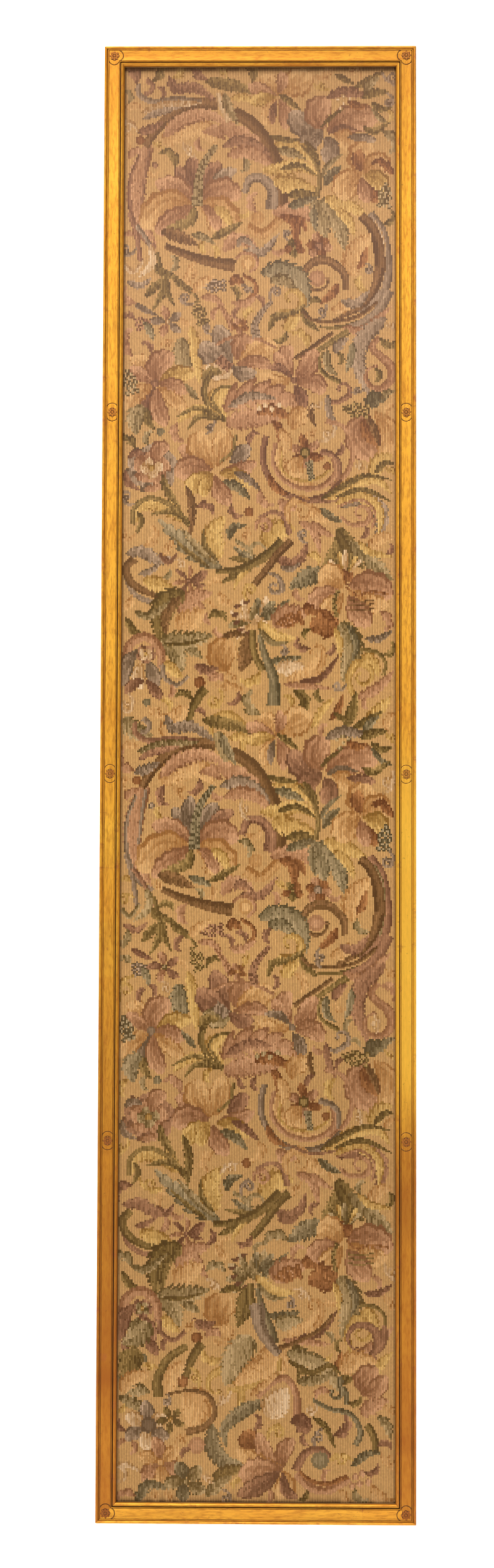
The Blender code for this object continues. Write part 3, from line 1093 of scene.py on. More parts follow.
    # mauve flower, top right
    petal("slate", 36, 92, 98, 66, 90, 44, 64)
    petal("rose", 40, 92, 92, 82, 68, 98, 44)
    petal("slate", 32, 92, 100, 70, 110, 56, 128, light=-1)
    petal("slate", 28, 94, 102, 102, 118, 94, 140)
    petal("rose", 44, 96, 94, 128, 76, 172, 74)
    leaf("olive", 6, 88, 88, 102, 74, 122, 60, base=1.2)
    leaf("plum", 8, 98, 98, 118, 88, 142, 93, base=1.4)
    petal("peach", 28, 106, 98, 122, 104, 130, 122)
    petal("slate", 15, 126, 102, 144, 104, 168, 108)
    leaf("plum", 18, 96, 46, 122, 36, 162, 44)
    leaf("brick", 13, 126, 50, 142, 58, 156, 54)
    for at in ((112, 48), (120, 43), (121, 53), (129, 47), (116, 60)):
        d.disc("cream", at, 3.0, 1.0, 4)
    leaf("olive", 11, 108, 10, 122, 18, 136, 25)
    leaf("olive", 13, 136, 30, 156, 20, 178, 6)
    leaf("sage", 14, 150, 36, 160, 24, 172, 14)
    leaf("olive", 15, 146, 46, 164, 38, 186, 36)
    leaf("olive", 12, 160, 52, 176, 62, 192, 58)
    leaf("sage", 8, 162, 60, 174, 76, 190, 84)
    leaf("olive", 12, 148, 88, 166, 94, 188, 78, light=-1)
    # the crossing, right of the ring
    leaf("ochre", 20, 20, 112, 48, 114, 72, 130, 86, 152)
    leaf("sage", 16, 24, 120, 46, 126, 66, 136)
    leaf("olive", 9, 12, 101, 34, 106, 58, 108)
    leaf("olive", 12, 64, 108, 78, 128, 86, 156)
    leaf("ochre", 24, 4, 151, 28, 150, 58, 144, 86, 160, light=-1)
    leaf("olive", 10, 28, 150, 56, 144, 84, 160)
    leaf("ochre", 32, 20, 164, 50, 174, 84, 182)
    leaf("olive", 17, 40, 188, 60, 186, 86, 190)
    leaf("teal", 15, 40, 205, 60, 198, 84, 190)
    leaf("sage", 8, 88, 162, 98, 144, 120, 126)
    stem("olive", 4, 8, 58, 114, 76, 134, 86, 162, 82, 190)
    leaf("teal", 15, 92, 174, 104, 156, 118, 145, light=-1, base=1.1)
    leaf("sage", 36, 82, 194, 88, 216, 96, 250)
    leaf("sage", 30, 90, 192, 112, 222, 124, 268)
    leaf("teal", 12, 78, 202, 78, 224, 82, 242)
    leaf("ochre", 26, 94, 192, 128, 204, 154, 216)
    leaf("ochre", 16, 108, 206, 128, 224, 138, 248)
    # orange flower, right
    petal("peach", 44, 148, 158, 146, 134, 160, 112)
    petal("brick", 20, 146, 154, 142, 136, 142, 120, base=2.6)
    petal("peach", 36, 150, 154, 168, 142, 188, 150)
    petal("brick", 13, 160, 142, 176, 138, 192, 158)
    petal("peach", 40, 146, 158, 126, 168, 122, 196)
    petal("ochre", 30, 150, 158, 168, 164, 180, 184)
    petal("brick", 20, 150, 168, 158, 184, 170, 198)
    petal("rose", 22, 146, 162, 150, 180, 156, 200)
    d.berries("sage", (182, 172), 95, 12, 3.6)
    # right scroll
    stem("slate", 10, 15, 160, 214, 177, 240, 184, 280, 182, 318, 166, 342, 142, 354)
    stem("cream", 3, 3, 166, 226, 178, 252, 180, 290, 174, 326)
    stem("bark", 13, 17, 146, 218, 160, 232, 171, 262, 173, 298, light=-1, bark=0.5)
    stem("bark", 16, 5, 173, 294, 166, 322, 146, 350, 112, 368)
    # volute with its peach leaf
    leaf("peach", 36, 132, 306, 138, 272, 160, 244)
    leaf("brick", 13, 140, 296, 150, 282, 154, 262, base=2.7)
    curl("bark", 9, 14, (86, 310), -320, 124, 326, 122, 304, 110, 290, shrink=0.4, inner=0.5)
    d.disc("rose", (83, 309), 12, 1.8, 3.4)
    leaf("brick", 15, 114, 316, 104, 332, 86, 346)
    leaf("peach", 20, 104, 356, 122, 350, 136, 336)
    leaf("slate", 16, 116, 342, 140, 346, 158, 326, light=-1)


def draw_middle(d):
    """The middle of the repeat: berries, shell and star flowers, lily and the lesser ring."""
    leaf, petal, stem, curl = d.leaf, d.petal, d.stem, d.curl
    # teal leaf, ochre curl and twigs
    leaf("teal", 32, 2, 302, 30, 296, 58, 310, 70, 352, base=2.7)
    leaf("sage", 20, 14, 312, 36, 312, 52, 328)
    curl("ochre", 6, 14, (45, 338), -250, 30, 356, 54, 356, 60, 342, base=2.6)
    leaf("olive", 13, 14, 386, 22, 366, 44, 362, 68, 346, light=-1)
    leaf("olive", 13, 62, 352, 68, 370, 86, 386)
    leaf("ochre", 22, 36, 386, 48, 372, 60, 366)
    stem("bark", 5, 6, 62, 358, 78, 370, 112, 371, 142, 364, 170, 344)
    stem("olive", 4, 7, 84, 380, 116, 380, 146, 372)
    stem("slate", 8, 17, 124, 382, 150, 372, 172, 354, 186, 326, light=-1)
    leaf("rose", 16, 120, 380, 150, 384, 190, 350)
    stem("bark", 7, 6, 52, 426, 78, 408, 106, 388, bark=0.3)
    stem("olive", 6, 10, 76, 420, 100, 404, 128, 386, light=-1)
    # left twigs and berries
    leaf("olive", 15, -164, 336, -150, 320, -136, 308, light=-1)
    leaf("olive", 12, -140, 304, -140, 330, -154, 356, base=2.4)
    leaf("olive", 10, -134, 306, -132, 330, -122, 350)
    leaf("slate", 9, -180, 346, -164, 355, -148, 362, base=1.9)
    stem("olive", 6, 4, -148, 272, -140, 296, -120, 312, -102, 322, -86, 344, bark=0.4)
    leaf("olive", 13, -124, 310, -110, 320, -98, 332)
    leaf("olive", 14, -150, 288, -142, 300, -116, 308)
    d.berries("slate", (-80, 321), -4, 12, 3.3)
    d.berries("olive", (-92, 346), 68, 12, 3.4)
    leaf("peach", 16, -96, 330, -84, 316, -66, 306)
    leaf("rose", 12, -84, 336, -66, 338, -50, 350)
    stem("brick", 5, 7, -24, 304, -8, 314, -5, 328, -14, 338)
    leaf("brick", 16, -42, 318, -34, 310, -22, 318)
    leaf("rose", 14, -40, 344, -22, 346, -2, 334)
    d.berries("plum", (-158, 372), 165, 9, 3.4)
    leaf("teal", 13, -166, 372, -158, 384, -152, 400, base=2.8)
    d.star(("slate", "rose"), (-132, 372), 24, 5, 30, 0.5, "cream")
    # sage leaves, left of the shell flower
    leaf("sage", 30, -112, 396, -110, 424, -104, 456)
    leaf("ochre", 20, -98, 378, -92, 410, -86, 462)
    # shell flower
    petal("slate", 30, -40, 430, -52, 402, -62, 376)
    petal("slate", 36, -38, 434, -62, 424, -86, 404)
    petal("cream", 30, -36, 434, -54, 444, -78, 440, light=-1)
    petal("rose", 40, -34, 428, -22, 408, -8, 396)
    petal("peach", 34, -30, 430, 2, 412, 26, 406, light=-1)
    petal("rose", 20, -34, 434, -4, 430, 18, 438)
    petal("slate", 22, -40, 436, -24, 448, -4, 446, light=-1)
    stem("rose", 5, 5, -62, 406, -42, 396, -8, 396, 24, 410)
    d.spike("plum", 16, 14, 3, -60, 426, -42, 440)
    d.spike("rose", 5, 12, 8, -60, 346, -48, 362, -36, 384)
    d.star(("brick", "rose"), (-28, 378), 13, 5, 15, 0.7, "peach")
    d.spike("slate", 6, 14, 9, 18, 342, 4, 358, -6, 376, -4, 396)
    # star flower, left
    petal("peach", 26, -146, 462, -164, 436, -186, 424)
    petal("rose", 36, -148, 462, -146, 436, -124, 418)
    petal("rose", 20, -150, 462, -168, 450, -186, 438)
    petal("ochre", 24, -144, 460, -120, 448, -92, 448)
    petal("rose", 22, -146, 462, -124, 464, -104, 476)
    petal("peach", 22, -148, 466, -124, 484, -104, 502)
    petal("plum", 24, -150, 466, -162, 490, -160, 518)
    petal("rose", 26, -148, 468, -146, 496, -134, 524)
    petal("peach", 26, -152, 464, -176, 478, -194, 500)
    d.disc("plum", (-150, 462), 6, 0.8, 2.2)
    d.berries("sage", (-190, 444), 75, 12, 3.6)
    leaf("sage", 30, -162, 498, -178, 512, -176, 536)
    leaf("olive", 14, -160, 500, -160, 516, -150, 530)
    d.disc("teal", (-142, 532), 6, 1.4, 2.2)
    # olive hook and its leaves
    leaf("ochre", 30, -52, 514, -66, 486, -44, 466)
    stem("olive", 4, 4, -54, 508, -68, 484, -56, 468, -38, 466)
    stem("olive", 8, 9, -48, 516, -68, 500, -80, 476, -74, 452, bark=0.5)
    leaf("olive", 18, -80, 460, -72, 446, -54, 446, light=-1)
    leaf("sage", 11, -88, 486, -98, 474, -108, 462, base=1.8)
    leaf("ochre", 18, -54, 514, -90, 500, -120, 520)
    leaf("olive", 7, -50, 514, -88, 498, -122, 512)
    leaf("olive", 9, -52, 514, -86, 510, -104, 530)
    # lily, middle
    petal("rose", 28, 48, 452, 36, 428, 46, 406)
    petal("rose", 20, 48, 454, 34, 436, 22, 416)
    petal("plum", 12, 48, 454, 32, 440, 10, 438)
    petal("peach", 22, 48, 456, 24, 460, 0, 448)
    petal("rose", 30, 52, 454, 72, 434, 82, 412, light=-1)
    petal("rose", 28, 52, 460, 78, 460, 94, 476)
    petal("plum", 20, 50, 464, 60, 480, 62, 500, light=-1)
    d.disc("plum", (50, 457), 5, 0.6, 2.0)
    stem("olive", 4, 7, 92, 416, 86, 432, 94, 448, 116, 460)
    leaf("sage", 14, 98, 412, 98, 436, 112, 450)
    # shell with pearls
    leaf("rose", 46, -52, 500, -18, 478, 30, 480, 58, 500, lobes=6)
    leaf("slate", 15, -44, 496, -12, 480, 24, 484)
    leaf("rose", 34, -48, 520, -10, 512, 32, 512, light=-1)
    leaf("brick", 20, -4, 506, 16, 500, 48, 512)
    for at in ((0, 498), (9, 494), (18, 499), (29, 493)):
        d.disc("cream", at, 3.8, 2.6, 4)
    leaf("brick", 14, 20, 516, 30, 530, 28, 548)
    petal("peach", 30, 48, 530, 54, 512, 72, 502)
    # grey ribbon and rose curl, right edge
    leaf("slate", 16, 108, 418, 116, 404, 128, 396)
    leaf("slate", 28, 182, 366, 150, 396, 142, 430, 158, 480)
    leaf("teal", 13, 134, 402, 132, 424, 124, 446, base=2.6)
    curl("rose", 7, 15, (168, 450), 330, 172, 394, 162, 410, 178, 426, base=2.0, shrink=0.5,
         inner=0.5)
    curl("plum", 5, 9, (118, 470), -230, 100, 486, 112, 488, 128, 478, base=2.4)
    # rose hip with its cap
    petal("rose", 44, 156, 504, 142, 536, 172, 574)
    petal("peach", 34, 166, 502, 186, 532, 176, 572, light=-1)
    petal("brick", 24, 160, 508, 154, 524, 172, 552)
    leaf("bark", 12, 154, 510, 164, 526, 172, 552)
    leaf("teal", 26, 156, 496, 166, 484, 184, 484, base=0.9)
    leaf("sage", 12, 174, 484, 184, 476, 196, 472)
    d.berries("olive", (122, 498), 8, 12, 3.8)
    # lesser ring with its flower
    leaf("slate", 13, 98, 478, 100, 502, 112, 530)
    leaf("bark", 10, 76, 490, 74, 508, 82, 526)
    stem("rose", 7, 8, 96, 516, 122, 526, 134, 556, 128, 588, 104, 612, light=-1)
    stem("plum", 9, 9, 10, 538, 5, 566, 12, 594, 34, 620, 66, 630, 96, 624, 120, 604, bark=0.5)
    leaf("peach", 22, coil((72, 566), 44, 44, 200, -130))
    stem("rose", 6, 9, 24, 548, 20, 576, 36, 602, 64, 614, 92, 610, 110, 592, 108, 570)
    stem("ochre", 4, 5, 34, 560, 32, 584, 50, 600, 76, 602, 98, 590, 100, 574)
    stem("plum", 6, 9, 114, 600, 116, 580, 106, 566, 88, 560, light=-1)
    d.star(("brick", "rose"), (66, 562), 26, 6, 12, 0.5, "olive", heart_size=0.3)
    petal("peach", 26, 64, 568, 52, 582, 58, 598)
    d.disc("brick", (98, 582), 6, 0.8, 2.0)
    d.spike("teal", 12, 8, 6, 72, 574, 75, 602)
    leaf("brick", 16, 14, 594, 24, 612, 42, 624, left=0.6)
    leaf("peach", 18, 30, 528, 40, 548, 34, 566)
    # leaves under the rose hip
    leaf("ochre", 26, 162, 600, 172, 574, 192, 566)
    leaf("olive", 11, 166, 592, 180, 578, 194, 578)
    # mauve rose, left edge
    d.bloom(("slate", "rose", "cream"), (-154, 584), 36, 6, 20)
    petal("rose", 24, -150, 578, -144, 558, -128, 552)
    leaf("plum", 12, -188, 570, -176, 562, -162, 566)
    leaf("plum", 12, -192, 588, -188, 606, -170, 616, light=-1)
    leaf("rose", 12, -166, 616, -146, 612, -132, 600)
    # peach lily with stamens
    petal("rose", 30, -66, 586, -88, 566, -116, 556)
    petal("peach", 40, -64, 584, -84, 556, -84, 530)
    petal("peach", 32, -60, 582, -52, 552, -50, 526, light=-1)
    stem("olive", 5, 4, -34, 536, -38, 560, -56, 576)
    petal("slate", 24, -42, 578, -26, 564, -14, 550)
    petal("rose", 36, -68, 588, -96, 584, -122, 594, light=-1)
    petal("ochre", 28, -66, 592, -90, 606, -104, 622)
    petal("rose", 22, -56, 590, -26, 586, -4, 576)
    petal("ochre", 22, -58, 592, -34, 594, -10, 612)
    leaf("slate", 13, -36, 590, -16, 600, 4, 618, base=1.8)
    leaf("teal", 16, -56, 606, -34, 610, -12, 630)
    petal("rose", 26, -62, 594, -58, 614, -40, 638)
    petal("ochre", 20, -66, 594, -78, 612, -78, 626)
    d.disc("brick", (-14, 648), 7, 1.0, 2.2)


def draw_foot(d):
    """The foot of the repeat: twisted stem, hook, thistle, carnation, great pink flower."""
    leaf, petal, stem, curl = d.leaf, d.petal, d.stem, d.curl
    # olive spray, left
    leaf("olive", 14, -138, 594, -132, 616, -110, 650, light=-1)
    leaf("bark", 14, -104, 610, -96, 640, -98, 684)
    leaf("ochre", 24, -106, 662, -136, 640, -168, 640, -176, 664)
    stem("olive", 7, 7, -100, 668, -124, 640, -156, 628, -178, 642, -180, 666)
    leaf("olive", 11, -98, 664, -124, 648, -156, 652)
    leaf("olive", 9, -174, 648, -168, 662, -176, 680)
    # teal acanthus rising from the twisted stem
    leaf("teal", 30, -52, 730, -92, 706, -122, 680, -144, 658, lobes=6, base=2.6, slant=1.2)
    leaf("sage", 16, -60, 724, -92, 696, -112, 670, left=0.6)
    leaf("olive", 7, -70, 728, -100, 706, -124, 684)
    leaf("ochre", 34, -58, 716, -66, 680, -48, 654)
    leaf("olive", 8, -60, 718, -78, 694, -78, 670)
    leaf("teal", 14, -42, 688, -38, 672, -18, 666, light=-1, base=1.0)
    # twisted stem
    leaf("olive", 15, -6, 722, -30, 738, -54, 750, light=-1)
    leaf("ochre", 8, -12, 726, -28, 744, -36, 760)
    curl("sage", 5, 10, (1, 704), 300, -34, 690, -18, 700, -8, 714, base=2.6, shrink=0.5)
    leaf("teal", 12, -2, 722, -18, 712, -36, 698)
    leaf("olive", 9, -2, 724, -20, 718, -44, 714)
    leaf("plum", 18, 24, 714, 46, 722, 62, 712, 70, 690, light=-1)
    leaf("slate", 8, 30, 728, 48, 730, 60, 720)
    leaf("ochre", 40, 14, 700, 24, 676, 52, 672)
    stem("olive", 8, 16, -60, 734, -30, 731, 0, 718, 22, 702, 34, 690, bark=0.7)
    stem("bark", 12, 10, 46, 690, 28, 708, 12, 730, -6, 752, bark=0.6)
    stem("plum", 5, 9, 0, 656, 20, 648, 36, 656, 44, 680, light=-1)
    curl("rose", 4, 8, (8, 670), 300, -4, 674, -2, 664, 8, 660, base=2.5)
    # rose curls, right of middle
    leaf("rose", 20, 28, 630, 40, 640, 56, 640)
    curl("peach", 6, 12, (62, 648), 330, 44, 664, 42, 644, 54, 632, base=2.6)
    leaf("rose", 15, 56, 662, 78, 674, 88, 706)
    leaf("rose", 12, 76, 662, 92, 676, 108, 684)
    leaf("peach", 18, 72, 640, 88, 656, 104, 660)
    # right acanthus
    stem("plum", 4, 5, 44, 622, 76, 634, 112, 630, 142, 618)
    leaf("slate", 40, 116, 640, 152, 622, 180, 650, 168, 702, lobes=7, left=0.4, light=-1)
    leaf("ochre", 20, 110, 636, 144, 624, 172, 646, 172, 680)
    stem("rose", 4, 4, 112, 640, 146, 630, 166, 648, 162, 672)
    curl("rose", 4, 9, (146, 650), -330, 118, 654, 130, 664, 150, 664, base=2.6, shrink=0.4)
    leaf("teal", 13, 88, 642, 102, 654, 120, 662, light=-1, base=1.0)
    leaf("ochre", 20, 98, 630, 136, 606, 170, 602, 190, 622)
    leaf("olive", 10, 88, 630, 122, 610, 154, 596, 192, 602)
    leaf("olive", 8, 110, 626, 150, 616, 192, 634)
    leaf("peach", 22, 158, 706, 174, 686, 194, 684)
    # hook and grey leaf, left edge
    stem("slate", 7, 9, -190, 742, -178, 766, -150, 778, -112, 774, light=-1)
    stem("bark", 9, 12, -108, 764, -150, 766, -180, 752, -190, 730, -178, 716, bark=0.2)
    leaf("slate", 20, -190, 708, -164, 706, -144, 718, -118, 714, light=-1)
    leaf("plum", 9, -142, 708, -128, 720, -116, 706)
    leaf("slate", 10, -172, 738, -156, 734, -140, 724)
    leaf("ochre", 26, -166, 746, -142, 754, -112, 770)
    # plum thistle and rose leaf
    d.star(("plum", "rose"), (-100, 748), 24, 7, 10, 0.3, "plum")
    petal("plum", 14, -100, 750, -84, 742, -74, 732)
    leaf("rose", 30, -112, 796, -98, 774, -66, 764)
    leaf("rose", 14, -84, 776, -80, 794, -68, 812)
    leaf("peach", 36, -118, 816, -98, 804, -76, 790)
    leaf("peach", 14, -58, 764, -48, 778, -36, 776)
    # dark trunk, left, and serrated leaves
    leaf("olive", 40, -106, 764, -136, 784, -142, 834, light=-1)
    leaf("bark", 18, -112, 770, -132, 796, -132, 828, light=-1)
    leaf("sage", 13, -178, 792, -156, 798, -126, 776)
    leaf("olive", 13, -190, 800, -180, 818, -158, 834)
    leaf("sage", 34, -140, 832, -106, 834, -66, 826, lobes=7)
    leaf("sage", 30, -138, 836, -118, 850, -108, 878, light=-1)
    leaf("olive", 6, -136, 838, -104, 838, -72, 830)
    leaf("sage", 15, -104, 846, -92, 850, -80, 858)
    # hanging bell flower, left edge
    stem("rose", 14, 13, -190, 868, -184, 840, -162, 828, -142, 844, -138, 872)
    petal("slate", 24, -172, 846, -190, 870, -194, 898)
    petal("slate", 22, -160, 862, -150, 884, -150, 904, light=-1)
    petal("cream", 20, -166, 864, -172, 884, -166, 904)
    d.bloom(("plum", "cream"), (-161, 853), 14, 5, 0)
    petal("plum", 16, -162, 890, -178, 896, -190, 910)
    petal("plum", 16, -160, 890, -150, 902, -138, 918)
    d.disc("teal", (-159, 922), 6, 1.2, 2.4)
    stem("slate", 7, 6, -138, 868, -134, 886, -116, 897, -100, 884)
    leaf("ochre", 18, -132, 862, -122, 876, -108, 886)
    # carnation and cone
    d.fan(("cream", "sage", "cream"), (-12, 808), -110, 36, 7, 230, 0.3, ruffle=0.1)
    for at in ((-34, 796), (-32, 808), (-26, 818), (-14, 822), (-30, 784), (-18, 778)):
        leaf("plum", 6, (at[0] - 5, at[1]), at, (at[0] + 6, at[1] - 3), base=1.0)
    d.fan(("teal", "cream", "teal"), (2, 800), -60, 34, 4, 70, 0.32)
    leaf("teal", 15, 8, 804, 28, 790, 44, 774)
    leaf("rose", 36, 22, 812, 42, 796, 72, 792)
    d.berries("brick", (28, 808), -14, 14, 3.8, rim=0.8, middle=2.8)
    leaf("ochre", 22, 0, 806, 22, 828, 54, 830, light=-1)
    leaf("sage", 9, 0, 816, 20, 836, 44, 836)
    # pink great flower, right, with dark leaves
    leaf("olive", 28, 116, 670, 118, 696, 90, 732)
    leaf("olive", 26, 112, 672, 132, 700, 150, 730, light=-1, base=1.2)
    leaf("sage", 30, 130, 690, 156, 714, 192, 746, lobes=6, light=-1)
    leaf("ochre", 12, 142, 690, 160, 706, 192, 712)
    leaf("teal", 30, 92, 732, 66, 744, 44, 758)
    d.fan(("cream", "olive", "ochre"), (124, 742), -90, 40, 7, 80, 0.22)
    leaf("brick", 24, 112, 734, 124, 742, 136, 736, base=1.4)
    petal("peach", 46, 122, 756, 102, 744, 84, 740)
    petal("rose", 44, 128, 754, 156, 752, 192, 768)
    petal("peach", 30, 128, 760, 156, 778, 186, 780)
    petal("rose", 34, 128, 768, 142, 792, 160, 812)
    petal("rose", 34, 118, 762, 92, 770, 72, 790)
    petal("peach", 30, 120, 764, 104, 784, 92, 800)
    stem("brick", 3, 3, 126, 756, 142, 768, 162, 762, 186, 766)
    for rise in (0, 6, 13):
        stem("bark", 2.6, 2.4, 128, 775 + rise, 146, 777 + rise, 164, 774 + rise)
    leaf("brick", 18, 64, 782, 76, 790, 86, 790)
    leaf("brick", 42, 114, 818, 92, 810, 72, 816)
    leaf("brick", 20, 88, 786, 98, 800, 112, 812)
    d.spike("olive", 6, 6, 6, 114, 760, 108, 778, 112, 800)
    # double trunk with teal feather
    leaf("bark", 28, -12, 822, -16, 848, -26, 878)
    leaf("bark", 12, -54, 834, -38, 824, -16, 826)
    stem("olive", 9, 10, -9, 818, -6, 850, 6, 876)
    stem("teal", 7, 19, 1, 824, 10, 856, 22, 890, 21, 926, bark=0.2)
    leaf("teal", 15, 16, 862, 38, 862, 62, 856)
    leaf("cream", 26, 26, 870, 44, 872, 66, 868)
    # brown pansy
    petal("peach", 46, -44, 878, -52, 856, -40, 832, base=2.2)
    leaf("plum", 17, -90, 868, -74, 876, -56, 872)
    d.disc("brick", (-84, 893), 8, 0.6, 1.6)
    leaf("rose", 14, -72, 890, -58, 884, -48, 892)
    curl("peach", 5, 10, (-38, 886), 300, -62, 898, -48, 902, -34, 898, base=2.5)
    # leaf with dark edge, and right scroll of sage
    leaf("peach", 30, 40, 894, 76, 880, 92, 846, light=-1)
    curl("peach", 5, 9, (80, 848), -220, 80, 878, 90, 864, 92, 850, base=2.4)
    leaf("rose", 12, 36, 896, 70, 898, 106, 902)
    leaf("plum", 11, 58, 892, 90, 886, 116, 852, base=0.9)
    leaf("sage", 36, 118, 806, 134, 842, 120, 892)
    leaf("teal", 12, 128, 810, 140, 838, 134, 862)
    leaf("ochre", 12, 108, 814, 116, 836, 116, 858)
    leaf("slate", 12, 152, 830, 172, 830, 192, 818, base=1.9)
    stem("olive", 6, 5, 146, 845, 170, 850, 182, 866, 178, 882)
    leaf("ochre", 20, 146, 858, 160, 860, 172, 884)
    curl("ochre", 7, 12, (148, 885), 350, 136, 912, 130, 888, 140, 868, base=2.4, shrink=0.3)
    leaf("rose", 18, 140, 916, 168, 902, 194, 876)
    # sprays at the join of the repeats
    stem("olive", 12, 13, -104, 962, -96, 934, -84, 912, -76, 902, bark=0.7)
    curl("ochre", 9, 17, (-54, 962), -230, -24, 990, -24, 960, -44, 942, base=2.5)
    leaf("olive", 17, 50, 904, 66, 918, 58, 950, light=-1, base=1.2)
    leaf("ochre", 14, 76, 958, 90, 934, 108, 914)
    leaf("brick", 12, 102, 948, 114, 932, 120, 910)
    leaf("olive", 18, 122, 958, 132, 940, 140, 906)
    leaf("ochre", 20, 150, 960, 166, 938, 192, 912)
    leaf("sage", 30, -192, 944, -176, 962, -150, 970)
    leaf("peach", 34, -132, 974, -122, 950, -100, 926)


def draw_ending(d):
    """The foot of the cloth, below the second repeat."""
    leaf, petal, stem, curl = d.leaf, d.petal, d.stem, d.curl
    # teal leaf, stem arc and curls, left
    leaf("sage", 34, -150, 1800, -166, 1818, -190, 1830)
    leaf("olive", 42, -160, 1844, -178, 1854, -172, 1888)
    stem("olive", 10, 15, -98, 1832, -124, 1850, -138, 1876, -138, 1902, bark=0.3)
    leaf("peach", 26, -190, 1896, -176, 1878, -150, 1870)
    d.disc("peach", (-42, 1810), 9, 3.0, 3.6)
    d.disc("brick", (-103, 1882), 8, 0.8, 2.6)
    # brown crescent with peach
    leaf("peach", 50, -100, 1896, -84, 1916, -94, 1946)
    stem("bark", 3, 11, -128, 1900, -92, 1894, -66, 1902, -58, 1924, -72, 1944, -98, 1952)
    # dark leaves and slate flower
    leaf("sage", 18, -194, 1904, -172, 1912, -150, 1930)
    d.star(("slate", "cream"), (-154, 1944), 34, 6, 20, 0.62, "slate")
    d.disc("slate", (-151, 1942), 11, 0.2, 1.0)
    d.star(("olive", "olive"), (-120, 1934), 20, 5, 15, 0.5, "ochre")
    d.disc("rose", (-83, 1970), 12, 2.4, 3.0)
    d.star(("rose", "peach"), (-134, 1994), 34, 6, 10, 0.62, "peach")
    leaf("teal", 18, -168, 2050, -152, 2026, -120, 2030)
    d.star(("sage", "teal"), (-98, 2020), 30, 5, 20, 0.66, "sage")
    # sage crescent and leaf
    leaf("teal", 26, -62, 1940, -60, 1974, -38, 1996, 0, 2000, light=-1)
    leaf("teal", 22, 14, 1908, -18, 1922, -44, 1946, -42, 1972)
    leaf("olive", 22, -60, 2014, -38, 2006, -14, 2000)
    leaf("sage", 20, -70, 2040, -52, 2024, -34, 2012)
    # rose swirl and trunk
    leaf("sage", 46, -6, 1818, -26, 1846, -44, 1886, base=3.0)
    leaf("peach", 52, 26, 1826, 18, 1860, -30, 1884, light=-1)
    stem("ochre", 6, 8, 34, 1848, 28, 1872, -2, 1886, -40, 1894)
    stem("slate", 22, 12, 0, 1772, 6, 1806, 22, 1832, 32, 1842)
    leaf("sage", 28, 42, 1840, 74, 1850, 102, 1868, 116, 1894, base=3.0)
    stem("bark", 7, 5, 32, 1834, 60, 1824, 92, 1806, 108, 1788)
    leaf("olive", 9, 44, 1850, 76, 1868, 104, 1858, 124, 1876)
    leaf("sage", 18, 56, 1880, 84, 1878, 110, 1868)
    # arch with its drop
    leaf("cream", 44, 16, 1930, 30, 1908, 44, 1890)
    stem("rose", 9, 11, 2, 1902, 20, 1884, 42, 1876, 56, 1898, 58, 1930, bark=0.2)
    leaf("peach", 11, -8, 1900, 10, 1886, 34, 1866)
    petal("plum", 26, 48, 1936, 62, 1936, 74, 1952)
    # pink lily with brick bud
    petal("brick", 32, 2, 1974, -8, 1964, -18, 1950)
    petal("rose", 24, 38, 2000, 16, 1984, 2, 1952)
    petal("peach", 26, 38, 2000, 4, 1994, -28, 1976, light=-1)
    petal("rose", 44, 38, 2002, 12, 2006, -24, 2012)
    petal("plum", 26, 38, 2004, 8, 2024, -26, 2040)
    petal("peach", 30, 38, 2004, 42, 2026, 34, 2044)
    petal("plum", 16, 38, 2006, 42, 2032, 60, 2042)
    petal("rose", 24, 38, 2000, 40, 1976, 54, 1960)
    # rose ring and sage ball
    stem("plum", 7, 13, 106, 1988, 92, 1974, 70, 1980, 56, 2004, light=-1)
    stem("rose", 13, 10, 58, 2008, 74, 2026, 100, 2032, 132, 2016)
    stem("brick", 5, 7, 62, 2006, 78, 2018, 102, 2022, 128, 2012)
    d.disc("teal", (90, 1990), 12, 1.8, 2.6)
    leaf("olive", 11, 80, 1930, 98, 1944, 112, 1974)
    for at in ((140, 2012), (150, 2008), (146, 2022), (136, 2026), (158, 2020)):
        d.disc("rose", at, 5, 2.2, 3.8)
    # teal stem with brick leaf, right
    stem("teal", 6, 9, 80, 1906, 104, 1918, 134, 1926, 147, 1950, 140, 1968)
    curl("teal", 5, 9, (110, 1896), 260, 128, 1912, 128, 1896, 118, 1886, base=1.8)
    stem("olive", 11, 9, 156, 1940, 166, 1958, 168, 1982, bark=0.3)
    leaf("sage", 16, 172, 1928, 184, 1940, 190, 1960)
    leaf("teal", 13, 134, 1998, 154, 1982, 178, 1978)
    # rose scroll and pink lily, right
    curl("plum", 8, 16, (146, 1822), -300, 182, 1802, 180, 1826, 164, 1842, base=2.2, shrink=0.5)
    leaf("peach", 36, 118, 1866, 140, 1852, 170, 1852)
    petal("rose", 30, 148, 1896, 150, 1876, 172, 1862)
    petal("rose", 26, 146, 1898, 168, 1890, 184, 1872)
    leaf("rose", 26, 148, 1926, 166, 1912, 186, 1906)


